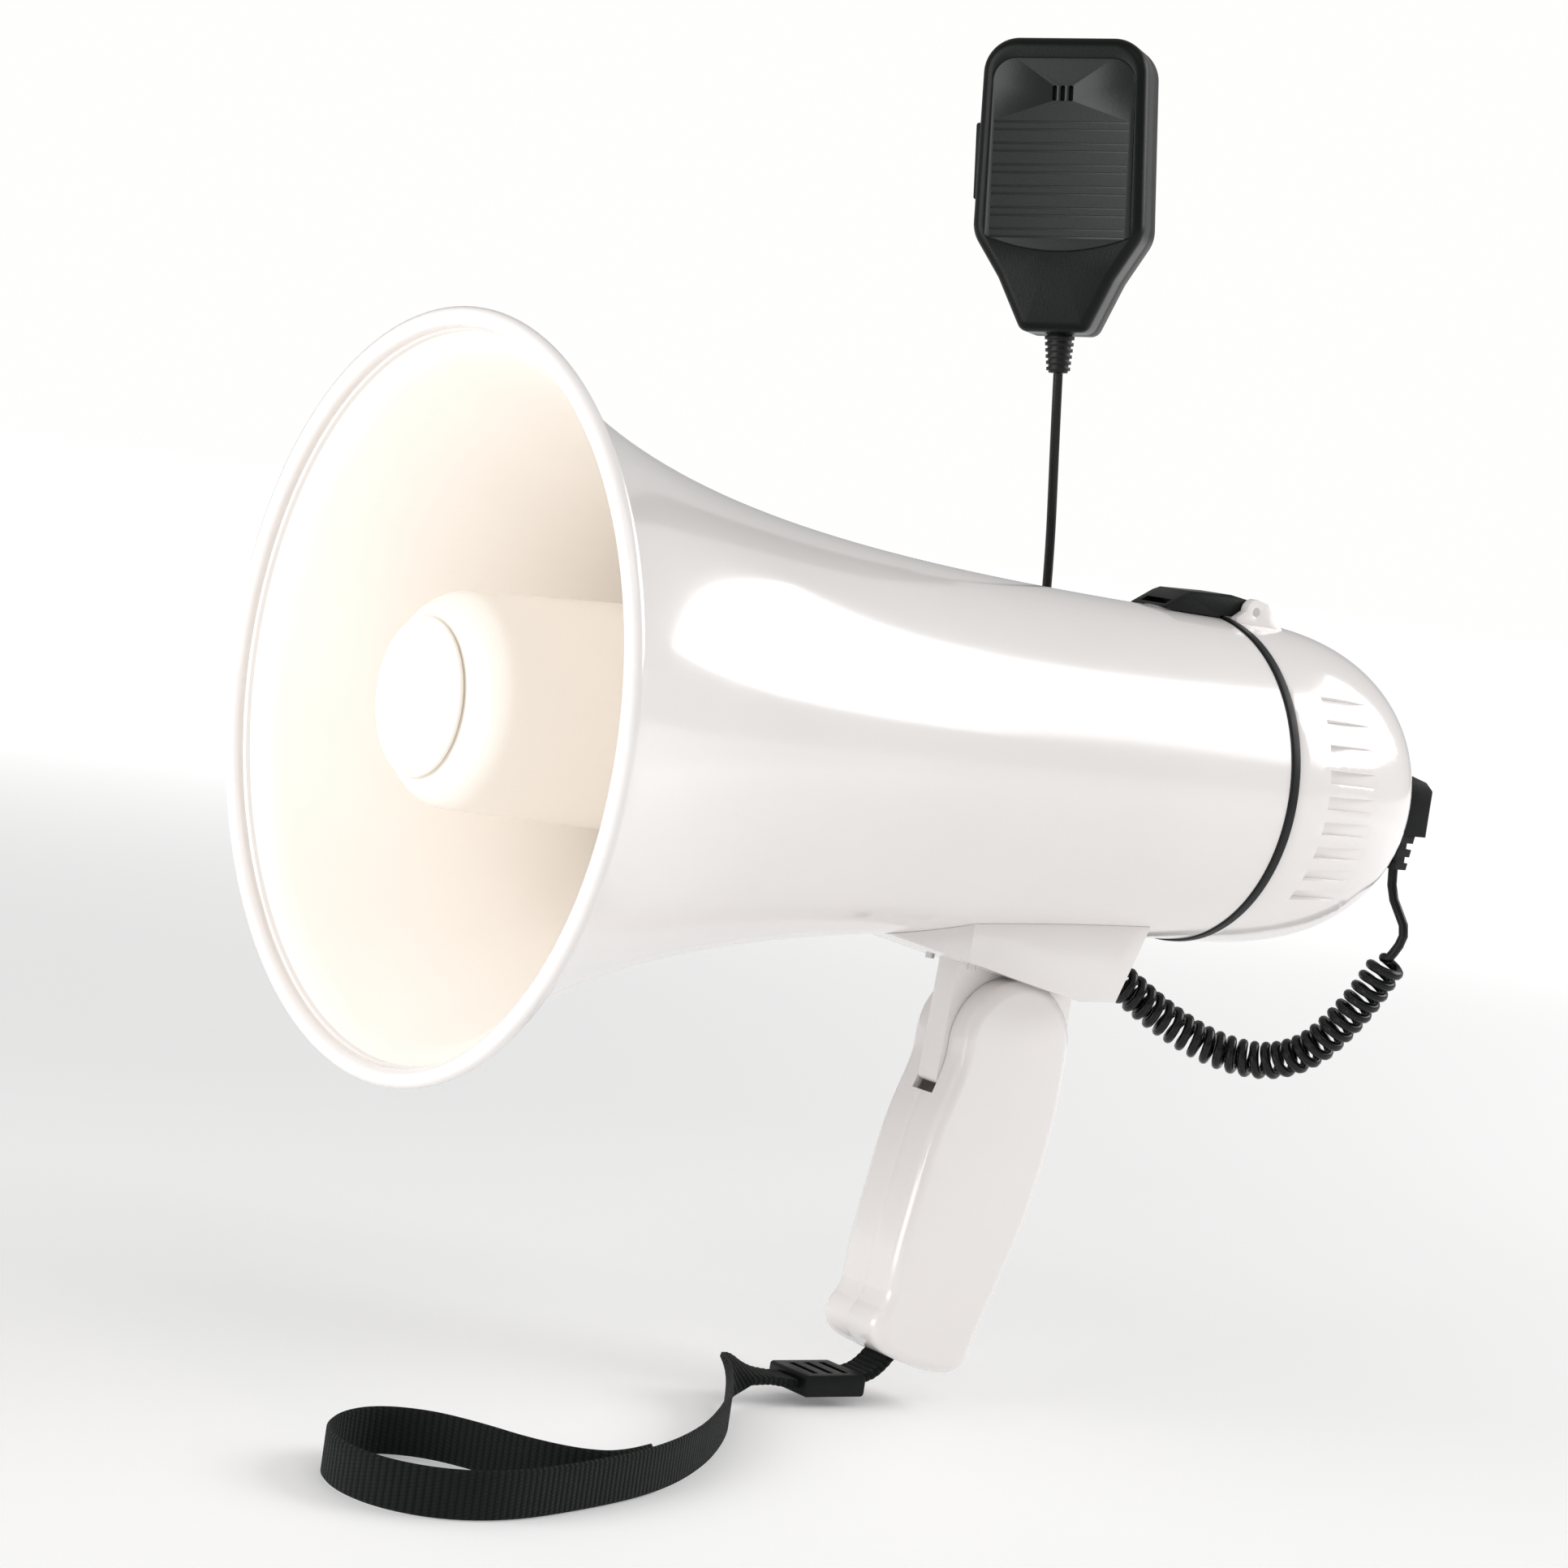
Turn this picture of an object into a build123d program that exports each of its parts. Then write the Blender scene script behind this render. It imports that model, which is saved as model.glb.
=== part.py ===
"""Handheld megaphone: flared horn, folding grip, latched rear cover, coiled lead and hand microphone.

Frame: origin in the palm of the grip, +X towards the rear cover, +Y to the right-hand side, +Z up.
Distances along the horn (u) run from the plane of the mouth towards the rear, radii (v) from its axis.
"""
from build123d import *
import math
import os

os.makedirs("parts", exist_ok=True)

# ---- Placement -------------------------------------------------------------------------------------
mouth_x = -225.0              # plane of the mouth
axis_z = 140.0                # horn axis above the palm

# ---- Horn ------------------------------------------------------------------------------------------
horn_length = 298.0           # mouth plane to the seam with the rear cover
lip_radius = 112.0            # outer skin at the mouth
rim_bead_radius = 3.0         # rolled rim
body_radius = 53.5            # radius the flare runs out to
flare_length = 79.0           # distance in which the flare falls to 1/e
horn_wall = 2.5
ledge_height = 7.0            # inner ledge that carries the bulkhead
ledge_width = 3.0

# ---- Reflector and throat --------------------------------------------------------------------------
reflector_length = 112.0
reflector_front_radius = 32.5
reflector_rear_radius = 35.5
reflector_wall = 2.2
reflector_nose_radius = 13.0
cap_radius = 24.0             # raised ring on the nose
cap_seat_depth = 2.0
spider_width = 14.0           # length of the ring that carries the ribs
rib_count = 3
rib_thickness = 3.0
throat_front_radius = 11.0
throat_rear_radius = 16.0
throat_wall = 1.8
throat_gap = 22.0             # throat mouth to the inside of the reflector nose
seat_gap = 0.1                # between pieces that seat on each other

# ---- Driver and bulkhead ---------------------------------------------------------------------------
bulkhead_u = 180.0
bulkhead_thickness = 3.0
driver_radius = 36.0
driver_depth = 9.0
magnet_radius = 33.0
magnet_bore = 12.0
magnet_depth = 14.0
yoke_depth = 4.0
diaphragm_radius = 25.0
diaphragm_thickness = 0.6
screw_radius = 1.5
screw_head_radius = 2.5
screw_head_height = 1.8
screw_clearance = 0.2          # round a screw, and between its head and a wall
mic_screw_radius = 1.2

# ---- Batteries -------------------------------------------------------------------------------------
cell_count = 6
cell_radius = 13.1
cell_length = 50.0
cell_gap = 5.3                # between neighbouring cells
holder_front_u = 222.0
holder_plate = 2.0
holder_rod_radius = 6.0
contact_thickness = 0.8

# ---- Seam, rear cover and latch --------------------------------------------------------------------
band_width = 4.0
band_proud = 0.7              # gasket stands this far outside the horn skin
cover_wall = 3.2
dome_length = 82.0            # seam to the apex that the dome would have
dome_depth = 72.0             # seam to the flat rear face
dome_shape = 3.0
dome_roundness = 2.2
spigot_length = 9.0
spigot_wall = 2.2
notch_count = 9
notch_pitch_deg = 9.0
notch_width = 4.4
notch_depth = 2.3
notch_start = 14.0            # behind the front edge of the cover
notch_length = 30.0
panel_radius = 27.0
panel_thickness = 2.0
panel_recess = 1.0
panel_ledge = 2.5
latch_pin_setback = 12.0      # behind the seam
latch_pin_rise = 3.0          # above the skin at the seam
latch_pin_radius = 1.6
latch_length = 36.5
latch_half_width = 9.0
latch_top = 3.4               # lever top above the pin
lug_thickness = 3.2
lug_radius = 4.2
running_gap = 0.05            # turning fits, per side
side_gap = 0.4                # along a hinge pin
body_gap = 0.4                # moving piece to a body that it lies over
catch_height = 2.2

# ---- Bracket and grip ------------------------------------------------------------------------------
pivot_x = 10.0
pivot_z = 47.0
grip_half = 15.0
grip_wall = 2.8
grip_edge = 4.0
grip_top_radius = 22.0
grip_pin_radius = 3.0
grip_boss_radius = 8.0
slot_half = 5.3
slot_radius = 31.0
tongue_half = 4.9
tongue_reach = 28.0
bracket_half = 27.0
bracket_nose_half = 9.0
bracket_recess = 1.0          # round the top of the grip
saddle_gap = 0.06             # between the bracket and the horn skin
grip_screw_radius = 1.6

# ---- Wrist strap -----------------------------------------------------------------------------------
web_width = 14.0
web_thickness = 1.5
web_double = 3.0
ground_z = -73.0
anchor_pin_radius = 2.0
anchor_x = -13.0
anchor_z = -49.0
buckle_length = 24.0
buckle_width = 20.0
buckle_height = 7.0
buckle_x = -41.0
buckle_z = -66.0

# ---- Rear panel controls ---------------------------------------------------------------------------
knob_y = 9.0
knob_z = 11.0
knob_radius = 8.5
knob_height = 10.0
shaft_radius = 3.0
button_radius = 3.2
button_travel = 1.2
button_z = -13.0
button_pitch = 8.5
button_count = 3
button_proud = 2.4
button_flange = 1.0
button_board_depth = 8.0      # behind the panel
board_thickness = 1.6
switch_y = -4.0
switch_z = 18.5
switch_travel = 5.0
socket_y = -17.0
socket_z = 1.0
socket_radius = 5.0
socket_bore = 3.0
charge_y = 20.0
charge_z = -5.0
charge_bore = 2.75
charge_depth = 9.0

# ---- Cord ------------------------------------------------------------------------------------------
cord_diameter = 3.4
coil_diameter = 14.0
plug_drop = 11.9              # underside of the plug below its socket
relief_drop = 24.0            # end of its strain relief below the socket

# ---- Microphone ------------------------------------------------------------------------------------
mic_centre = (41.0, 66.0, 330.0)
mic_turn_deg = 50.0
mic_lean_deg = 6.0
mic_half_top = 28.0
mic_half_width = 29.5
mic_half_neck = 11.5
mic_top = 50.0
mic_bottom = -49.0
mic_waist = -16.0              # where the straight sides end
mic_front_depth = 14.0
mic_back_depth = 13.0
mic_wall = 2.0
mic_corner = 12.0
panel_inset = 4.0
mic_panel_thickness = 1.4
relief_length = 13.0
ptt_length = 26.0
ptt_width = 9.0
ptt_travel = 1.5
ptt_flange = 1.2              # keeps the key in its window
ptt_switch_length = 10.0
board_overlap = 1.4           # board beyond the end of the switch
ptt_proud = 2.3               # beyond the side of the microphone, at the key's lower end
clip_width = 18.0
clip_length = 48.0
clip_gap = 5.0
clip_thickness = 2.4
clip_pin_radius = 1.5

# ---- Shared geometry -------------------------------------------------------------------------------
horn_plane = Plane(origin=(mouth_x, 0, axis_z), x_dir=(1, 0, 0), z_dir=(0, -1, 0))
horn_axis = Axis((mouth_x, 0, axis_z), (1, 0, 0))
seam_u = horn_length
cover_u = horn_length + band_width
rear_u = cover_u + dome_depth
panel_face_u = rear_u - panel_recess
panel_back_u = panel_face_u - panel_thickness


def station(u):
    """Plane square to the horn axis, with local x along +Y and local y along +Z."""
    return Plane(origin=(mouth_x + u, 0, axis_z), x_dir=(0, 1, 0), z_dir=(1, 0, 0))


def flare_radius(u):
    """Outer radius of the horn at a distance u behind the mouth."""
    return body_radius + (lip_radius - body_radius) * math.exp(-u / flare_length)


def dome_radius(u, inset=0.0):
    """Outer radius of the rear cover, or of its inner skin when an inset is given."""
    share = (u - cover_u) / (dome_length - inset)
    return (flare_radius(seam_u) - inset) * (1 - share ** dome_shape) ** (1 / dome_roundness)


def cord_radii(points):
    """Arc radii of a cord: 0.45 of the shorter run over the tangent of half the turn."""
    corners = [Vector(*point) for point in points]
    radii = []
    for before, corner, after in zip(corners, corners[1:], corners[2:]):
        arriving = corner - before
        leaving = after - corner
        half_turn = math.radians(arriving.get_angle(leaving)) / 2
        radii.append(0.45 * min(arriving.length, leaving.length) / math.tan(half_turn))
    return radii


latch_pin_u = seam_u + latch_pin_setback
latch_pin_height = flare_radius(seam_u) + latch_pin_rise

# ==== Horn ==========================================================================================
bracket_screw_spots = [(pivot_x - 22, 11), (pivot_x - 22, -11), (pivot_x + 22, 11), (pivot_x + 22, -11)]
bracket_screw_z = axis_z - flare_radius(pivot_x - 22 - mouth_x) + horn_wall + 5.0
bracket_screw_length = 18.5
flare_stops = [0, 12, 28, 50, 80, 120, 170, 230, horn_length]
ledge_u = bulkhead_u + bulkhead_thickness + seat_gap
ledge_radius = flare_radius(ledge_u) - horn_wall
bulkhead_screw_u = ledge_u + ledge_width + ledge_height + seat_gap
head_room = flare_radius(bulkhead_screw_u + screw_head_height) - horn_wall - screw_clearance
bulkhead_screw_circle = head_room - screw_head_radius

with BuildPart() as horn_bell:
    with BuildSketch(horn_plane):
        with BuildLine():
            skin = Spline(*[(u, flare_radius(u)) for u in flare_stops])
            lining = Spline(*[(u, flare_radius(u) - horn_wall) for u in flare_stops])
            Line(skin @ 0, lining @ 0)
            Line(skin @ 1, lining @ 1)
        make_face()
        with Locations((rim_bead_radius / 2, lip_radius)):
            Circle(rim_bead_radius)
        with BuildLine():
            Polyline(
                (ledge_u, ledge_radius + 1),
                (ledge_u, ledge_radius - ledge_height),
                (ledge_u + ledge_width, ledge_radius - ledge_height),
                (ledge_u + ledge_width + ledge_height, ledge_radius + 0.5),
                close=True,
            )
        make_face()
    revolve(axis=horn_axis)
    # Holes of the bulkhead screws and of the bracket screws
    with BuildSketch(station(ledge_u - 1)):
        with PolarLocations(bulkhead_screw_circle, 4, 45):
            Circle(screw_radius + screw_clearance)
    extrude(amount=ledge_width + ledge_height, mode=Mode.SUBTRACT)
    with BuildSketch(Plane.XY.offset(bracket_screw_z)):
        with Locations(*bracket_screw_spots):
            Circle(screw_radius + screw_clearance)
    extrude(amount=-bracket_screw_length, mode=Mode.SUBTRACT)
    # Latch catch on the top of the body
    catch_u = latch_pin_u - latch_length + 2.6
    catch_base = flare_radius(catch_u) - horn_wall / 2
    with BuildSketch(Plane.XY.offset(axis_z + catch_base)):
        with Locations((mouth_x + catch_u + 1.5, 0)):
            Rectangle(3.0, 11.0)
    extrude(amount=catch_height + horn_wall / 2)
horn_bell.part.label = "horn_bell"
export_step(horn_bell.part, "parts/horn_bell.step")

# ==== Reflector, its cap, spider and throat =========================================================
with BuildPart() as reflector:
    with BuildSketch(horn_plane):
        with BuildLine():
            outside = FilletPolyline(
                (reflector_length, reflector_rear_radius),
                (cap_seat_depth, reflector_front_radius),
                (cap_seat_depth, 0),
                radius=reflector_nose_radius,
            )
            inside = FilletPolyline(
                (reflector_length, reflector_rear_radius - reflector_wall),
                (cap_seat_depth + reflector_wall, reflector_front_radius - reflector_wall),
                (cap_seat_depth + reflector_wall, 0),
                radius=reflector_nose_radius - reflector_wall,
            )
            Line(outside @ 0, inside @ 0)
            Line(outside @ 1, inside @ 1)
        make_face()
    revolve(axis=horn_axis)
reflector.part.label = "reflector"
export_step(reflector.part, "parts/reflector.step")

with BuildPart() as reflector_cap:
    with BuildSketch(horn_plane):
        with BuildLine():
            Polyline(
                (cap_seat_depth - seat_gap, 0),
                (cap_seat_depth - seat_gap, cap_radius - 4.0),
                (cap_seat_depth - seat_gap, cap_radius - 0.6),
                (0.6, cap_radius),
                (0, cap_radius - 0.6),
                (0, cap_radius - 2.4),
                (0.9, cap_radius - 3.0),
                (1.2, cap_radius * 0.45),
                (0.5, 0),
                close=True,
            )
        make_face()
    revolve(axis=horn_axis)
reflector_cap.part.label = "reflector_cap"
export_step(reflector_cap.part, "parts/reflector_cap.step")

spider_rear_u = reflector_length
spider_front_u = reflector_length - spider_width
with BuildPart() as spider:
    with BuildSketch(station(spider_front_u)):
        Circle(reflector_rear_radius + 3.0)
        for index in range(rib_count):
            turn = 90 + index * 360 / rib_count
            reach = flare_radius(spider_rear_u) + 6
            with PolarLocations(reflector_rear_radius + 1.0, 1, turn):
                Rectangle(reach, rib_thickness, align=(Align.MIN, Align.CENTER))
        Circle(reflector_rear_radius + seat_gap, mode=Mode.SUBTRACT)
    extrude(amount=spider_width)
    with BuildSketch(horn_plane):
        with BuildLine():
            lining = Spline(*[(u, flare_radius(u) - horn_wall - seat_gap) for u in flare_stops])
            Polyline(lining @ 1, (horn_length, lip_radius + 20), (0, lip_radius + 20), lining @ 0)
        make_face()
    revolve(axis=horn_axis, mode=Mode.SUBTRACT)
spider.part.label = "spider"
export_step(spider.part, "parts/spider.step")

throat_front_u = cap_seat_depth + reflector_wall + throat_gap
with BuildPart() as throat_tube:
    with BuildSketch(horn_plane):
        with BuildLine():
            Polyline(
                (throat_front_u, throat_front_radius),
                (bulkhead_u - seat_gap, throat_rear_radius),
                (bulkhead_u - seat_gap, throat_rear_radius - throat_wall),
                (throat_front_u, throat_front_radius - throat_wall),
                close=True,
            )
        make_face()
        with BuildLine():
            Polyline(
                (bulkhead_u - seat_gap, throat_rear_radius - 0.5),
                (bulkhead_u - seat_gap, throat_rear_radius + 8),
                (bulkhead_u - seat_gap - 2.5, throat_rear_radius + 8),
                (bulkhead_u - seat_gap - 2.5, throat_rear_radius - 0.5),
                close=True,
            )
        make_face()
    revolve(axis=horn_axis)
throat_tube.part.label = "throat_tube"
export_step(throat_tube.part, "parts/throat_tube.step")

# ==== Bulkhead and driver ===========================================================================
bulkhead_radius = flare_radius(bulkhead_u + bulkhead_thickness) - horn_wall - 0.2
with BuildPart() as bulkhead:
    with BuildSketch(station(bulkhead_u)):
        Circle(bulkhead_radius)
        Circle(throat_rear_radius - throat_wall, mode=Mode.SUBTRACT)
    extrude(amount=bulkhead_thickness)
    with BuildSketch(station(bulkhead_u)):
        Circle(bulkhead_radius - 8)
        Circle(bulkhead_radius - 11, mode=Mode.SUBTRACT)
    extrude(amount=-5)
    with BuildSketch(station(bulkhead_u)):
        with PolarLocations(bulkhead_screw_circle, 4, 45):
            Circle(screw_radius)
    extrude(amount=bulkhead_thickness, mode=Mode.SUBTRACT)
bulkhead.part.label = "bulkhead"
export_step(bulkhead.part, "parts/bulkhead.step")

with BuildPart() as bulkhead_screws:
    with BuildSketch(station(bulkhead_screw_u)):
        with PolarLocations(bulkhead_screw_circle, 4, 45):
            Circle(screw_head_radius)
    extrude(amount=screw_head_height)
    with BuildSketch(station(bulkhead_screw_u)):
        with PolarLocations(bulkhead_screw_circle, 4, 45):
            Circle(screw_radius)
    extrude(amount=-(ledge_width + ledge_height + seat_gap + bulkhead_thickness))
bulkhead_screws.part.label = "bulkhead_screws"
export_step(bulkhead_screws.part, "parts/bulkhead_screws.step")

driver_u = bulkhead_u + bulkhead_thickness + seat_gap
with BuildPart() as driver_frame:
    with BuildSketch(station(driver_u)):
        Circle(driver_radius)
        Circle(diaphragm_radius + 3, mode=Mode.SUBTRACT)
    extrude(amount=driver_depth)
    with BuildSketch(station(driver_u)):
        Circle(driver_radius + 7)
        Circle(diaphragm_radius + 3, mode=Mode.SUBTRACT)
    extrude(amount=2.5)
    with BuildSketch(station(driver_u)):
        with PolarLocations(driver_radius + 3.5, 4, 45):
            Circle(screw_radius + screw_clearance)
    extrude(amount=2.5, mode=Mode.SUBTRACT)
driver_frame.part.label = "driver_frame"
export_step(driver_frame.part, "parts/driver_frame.step")

with BuildPart() as driver_screws:
    with BuildSketch(station(driver_u + 2.5 + seat_gap)):
        with PolarLocations(driver_radius + 3.5, 4, 45):
            Circle(screw_head_radius)
    extrude(amount=screw_head_height)
    with BuildSketch(station(driver_u + 2.5 + seat_gap)):
        with PolarLocations(driver_radius + 3.5, 4, 45):
            Circle(screw_radius)
    extrude(amount=-2.4)
driver_screws.part.label = "driver_screws"
export_step(driver_screws.part, "parts/driver_screws.step")

with BuildPart() as diaphragm:
    with BuildSketch(horn_plane):
        with BuildLine():
            crown = driver_u + 6.5
            hem = driver_u + 1.0
            Polyline(
                (crown, 0),
                (hem, diaphragm_radius - 4),
                (hem, diaphragm_radius + 2.8),
                (hem + diaphragm_thickness, diaphragm_radius + 2.8),
                (hem + diaphragm_thickness, diaphragm_radius - 4),
                (crown + diaphragm_thickness, 0),
                close=True,
            )
        make_face()
    revolve(axis=horn_axis)
diaphragm.part.label = "diaphragm"
export_step(diaphragm.part, "parts/diaphragm.step")

magnet_u = driver_u + driver_depth + seat_gap
with BuildPart() as magnet:
    with BuildSketch(station(magnet_u)):
        Circle(magnet_radius)
        Circle(magnet_bore, mode=Mode.SUBTRACT)
    extrude(amount=magnet_depth)
magnet.part.label = "magnet"
export_step(magnet.part, "parts/magnet.step")

with BuildPart() as yoke:
    with BuildSketch(station(magnet_u + magnet_depth + seat_gap)):
        Circle(magnet_radius - 2)
    extrude(amount=yoke_depth)
    with BuildSketch(station(magnet_u + magnet_depth + seat_gap)):
        Circle(magnet_bore - 2)
    extrude(amount=-magnet_depth)
yoke.part.label = "yoke"
export_step(yoke.part, "parts/yoke.step")

# ==== Batteries and their holder ====================================================================
cell_ring_radius = 2 * cell_radius + cell_gap
cell_u = holder_front_u + holder_plate + contact_thickness + 0.3
holder_rear_u = cell_u + cell_length + contact_thickness + 0.3
holder_radius = flare_radius(holder_rear_u) - horn_wall - 1.0
with BuildPart() as battery_holder:
    for plate_u in (holder_front_u, holder_rear_u):
        with BuildSketch(station(plate_u)):
            Circle(holder_radius)
            with PolarLocations(holder_radius, cell_count, 0):
                Circle(5, mode=Mode.SUBTRACT)
        extrude(amount=holder_plate)
    with BuildSketch(station(holder_front_u)):
        Circle(holder_rod_radius)
    extrude(amount=holder_rear_u - holder_front_u + holder_plate)
battery_holder.part.label = "battery_holder"
export_step(battery_holder.part, "parts/battery_holder.step")

with BuildPart() as battery_cells:
    with BuildSketch(station(cell_u)):
        with PolarLocations(cell_ring_radius, cell_count, 30):
            Circle(cell_radius)
    extrude(amount=cell_length - 2)
    with BuildSketch(station(cell_u + cell_length - 2)):
        with PolarLocations(cell_ring_radius, cell_count, 30):
            Circle(3.2)
    extrude(amount=2)
battery_cells.part.label = "battery_cells"
export_step(battery_cells.part, "parts/battery_cells.step")

with BuildPart() as battery_contacts:
    for contact_u in (holder_front_u + holder_plate, holder_rear_u - contact_thickness):
        with BuildSketch(station(contact_u)):
            with PolarLocations(cell_ring_radius, cell_count, 30):
                Circle(7)
        extrude(amount=contact_thickness)
battery_contacts.part.label = "battery_contacts"
export_step(battery_contacts.part, "parts/battery_contacts.step")

# ==== Gasket band and rear cover ====================================================================
skin_radius = flare_radius(seam_u)
spigot_radius = skin_radius - horn_wall - 0.25
with BuildPart() as gasket_band:
    with BuildSketch(station(seam_u + seat_gap / 2)):
        Circle(skin_radius + band_proud)
        Circle(spigot_radius + 0.05, mode=Mode.SUBTRACT)
    extrude(amount=band_width - seat_gap)
    rims = gasket_band.faces().filter_by(GeomType.CYLINDER).sort_by(lambda face: face.area)[-1].edges()
    fillet(rims.filter_by(GeomType.CIRCLE), radius=0.8)
gasket_band.part.label = "gasket_band"
export_step(gasket_band.part, "parts/gasket_band.step")

dome_stops = [cover_u + dome_depth * share for share in (0, 0.2, 0.4, 0.58, 0.74, 0.87, 0.95, 1)]
inner_rear_u = panel_back_u - panel_ledge
inner_depth = inner_rear_u - cover_u
inner_stops = [cover_u + inner_depth * share for share in (0, 0.2, 0.4, 0.58, 0.74, 0.87, 0.95, 1)]
notch_floor = skin_radius - notch_depth
with BuildPart() as rear_cover:
    with BuildSketch(horn_plane):
        with BuildLine():
            skin = Spline(*[(u, dome_radius(u)) for u in dome_stops])
            Polyline(skin @ 1, (rear_u, 0), (cover_u, 0), skin @ 0)
        make_face()
    revolve(axis=horn_axis)
    with BuildSketch(horn_plane):
        with BuildLine():
            lining = Spline(*[(u, dome_radius(u, cover_wall)) for u in inner_stops])
            Polyline(lining @ 1, (inner_rear_u, 0), (cover_u, 0), lining @ 0)
        make_face()
    revolve(axis=horn_axis, mode=Mode.SUBTRACT)
    # Seat of the control panel
    with BuildSketch(station(rear_u)):
        Circle(panel_radius + 0.2)
    extrude(amount=-(rear_u - panel_back_u + seat_gap), mode=Mode.SUBTRACT)
    with BuildSketch(station(rear_u)):
        Circle(panel_radius - 2.5)
    extrude(amount=-20, mode=Mode.SUBTRACT)
    # Spigot that enters the horn, through the gasket
    with BuildSketch(horn_plane):
        with BuildLine():
            Polyline(
                (seam_u - spigot_length, spigot_radius),
                (cover_u + 5, spigot_radius),
                (cover_u + 5, spigot_radius - spigot_wall),
                (seam_u - spigot_length, spigot_radius - spigot_wall),
                close=True,
            )
        make_face()
    revolve(axis=horn_axis)
    # Finger notches on both sides
    for side in (0, 180):
        for index in range(notch_count):
            turn = side + (index - (notch_count - 1) / 2) * notch_pitch_deg
            with BuildSketch(station(cover_u + notch_start)):
                with PolarLocations(notch_floor, 1, turn):
                    Rectangle(12, notch_width, align=(Align.MIN, Align.CENTER))
            extrude(amount=notch_length, mode=Mode.SUBTRACT)
    # Two ears of the latch hinge
    lug_u = latch_pin_u
    lug_z = axis_z + latch_pin_height
    with BuildSketch(Plane.XZ.offset(-latch_half_width - side_gap - lug_thickness)):
        with BuildLine():
            ear_front = ThreePointArc(
                (mouth_x + lug_u - lug_radius, lug_z),
                (mouth_x + lug_u - lug_radius * 0.7, lug_z + lug_radius * 0.714),
                (mouth_x + lug_u, lug_z + lug_radius),
            )
            Polyline(
                ear_front @ 1,
                (mouth_x + lug_u + 4.5, lug_z + 3.2),
                (mouth_x + lug_u + 13, axis_z + skin_radius - 2.2),
                (mouth_x + cover_u, axis_z + skin_radius - 3),
                (mouth_x + cover_u, axis_z + skin_radius + 0.3),
                ear_front @ 0,
            )
        make_face()
    extrude(amount=2 * (latch_half_width + side_gap + lug_thickness))
    # Clear the space of the lever between the ears
    lever_floor = lug_z - latch_top - body_gap
    with BuildSketch(Plane.XZ.offset(-latch_half_width - side_gap)):
        with BuildLine():
            Polyline(
                (mouth_x + cover_u - 3, lever_floor),
                (mouth_x + lug_u + 4.6, lever_floor),
                (mouth_x + lug_u + 9.5, lug_z + 8),
                (mouth_x + cover_u - 3, lug_z + 8),
                close=True,
            )
        make_face()
    extrude(amount=2 * (latch_half_width + side_gap), mode=Mode.SUBTRACT)
    with BuildSketch(Plane.XZ.offset(-latch_half_width - side_gap - lug_thickness)):
        with Locations((mouth_x + lug_u, lug_z)):
            Circle(latch_pin_radius)
    extrude(amount=2 * (latch_half_width + side_gap + lug_thickness), mode=Mode.SUBTRACT)
    with BuildSketch(station(seam_u + seat_gap)):
        Circle(skin_radius + 14)
        Circle(spigot_radius + 0.05, mode=Mode.SUBTRACT)
    extrude(amount=band_width - seat_gap, mode=Mode.SUBTRACT)
rear_cover.part.label = "rear_cover"
export_step(rear_cover.part, "parts/rear_cover.step")

# ==== Latch =========================================================================================
lever_x = mouth_x + latch_pin_u
with BuildPart() as latch_lever:
    with BuildSketch(Plane.XZ.offset(-latch_half_width)):
        with BuildLine():
            barrel = ThreePointArc(
                (lever_x, lug_z + latch_top),
                (lever_x + latch_top, lug_z),
                (lever_x, lug_z - latch_top),
            )
            Polyline(
                barrel @ 1,
                (lever_x - 10, lug_z - 8),
                (lever_x - latch_length, lug_z - 6),
                (lever_x - latch_length, lug_z - 2.2),
                (lever_x - 26, lug_z + latch_top + 0.6),
                (lever_x - 8, lug_z + latch_top + 1.2),
                barrel @ 0,
            )
        make_face()
    extrude(amount=2 * latch_half_width)
    flats = latch_lever.faces().filter_by(Axis.Y)
    chamfer(flats.edges().group_by(Axis.Z)[-1], length=1.2)
    # Underside follows the horn
    with BuildSketch(horn_plane):
        with BuildLine():
            under = Spline(*[(u, flare_radius(u) + body_gap) for u in flare_stops])
            Polyline(under @ 1, (horn_length, 0), (0, 0), under @ 0)
        make_face()
    revolve(axis=horn_axis, mode=Mode.SUBTRACT)
    with BuildSketch(station(seam_u - body_gap)):
        Circle(skin_radius + band_proud + body_gap)
    extrude(amount=band_width + 12, mode=Mode.SUBTRACT)
    # Pocket over the catch
    with BuildSketch(Plane.XY.offset(axis_z + 40)):
        with Locations((mouth_x + catch_u + 2.2, 0)):
            Rectangle(6.4, 12.6)
    extrude(amount=skin_radius - 40 + catch_height + 1.2, mode=Mode.SUBTRACT)
    with BuildSketch(Plane.XZ.offset(-latch_half_width)):
        with Locations((lever_x, lug_z)):
            Circle(latch_pin_radius + running_gap)
    extrude(amount=2 * latch_half_width, mode=Mode.SUBTRACT)
latch_lever.part.label = "latch_lever"
export_step(latch_lever.part, "parts/latch_lever.step")

with BuildPart() as latch_pin:
    with BuildSketch(Plane.XZ.offset(-latch_half_width - side_gap - lug_thickness)):
        with Locations((lever_x, lug_z)):
            Circle(latch_pin_radius)
    extrude(amount=2 * (latch_half_width + side_gap + lug_thickness))
latch_pin.part.label = "latch_pin"
export_step(latch_pin.part, "parts/latch_pin.step")

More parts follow.
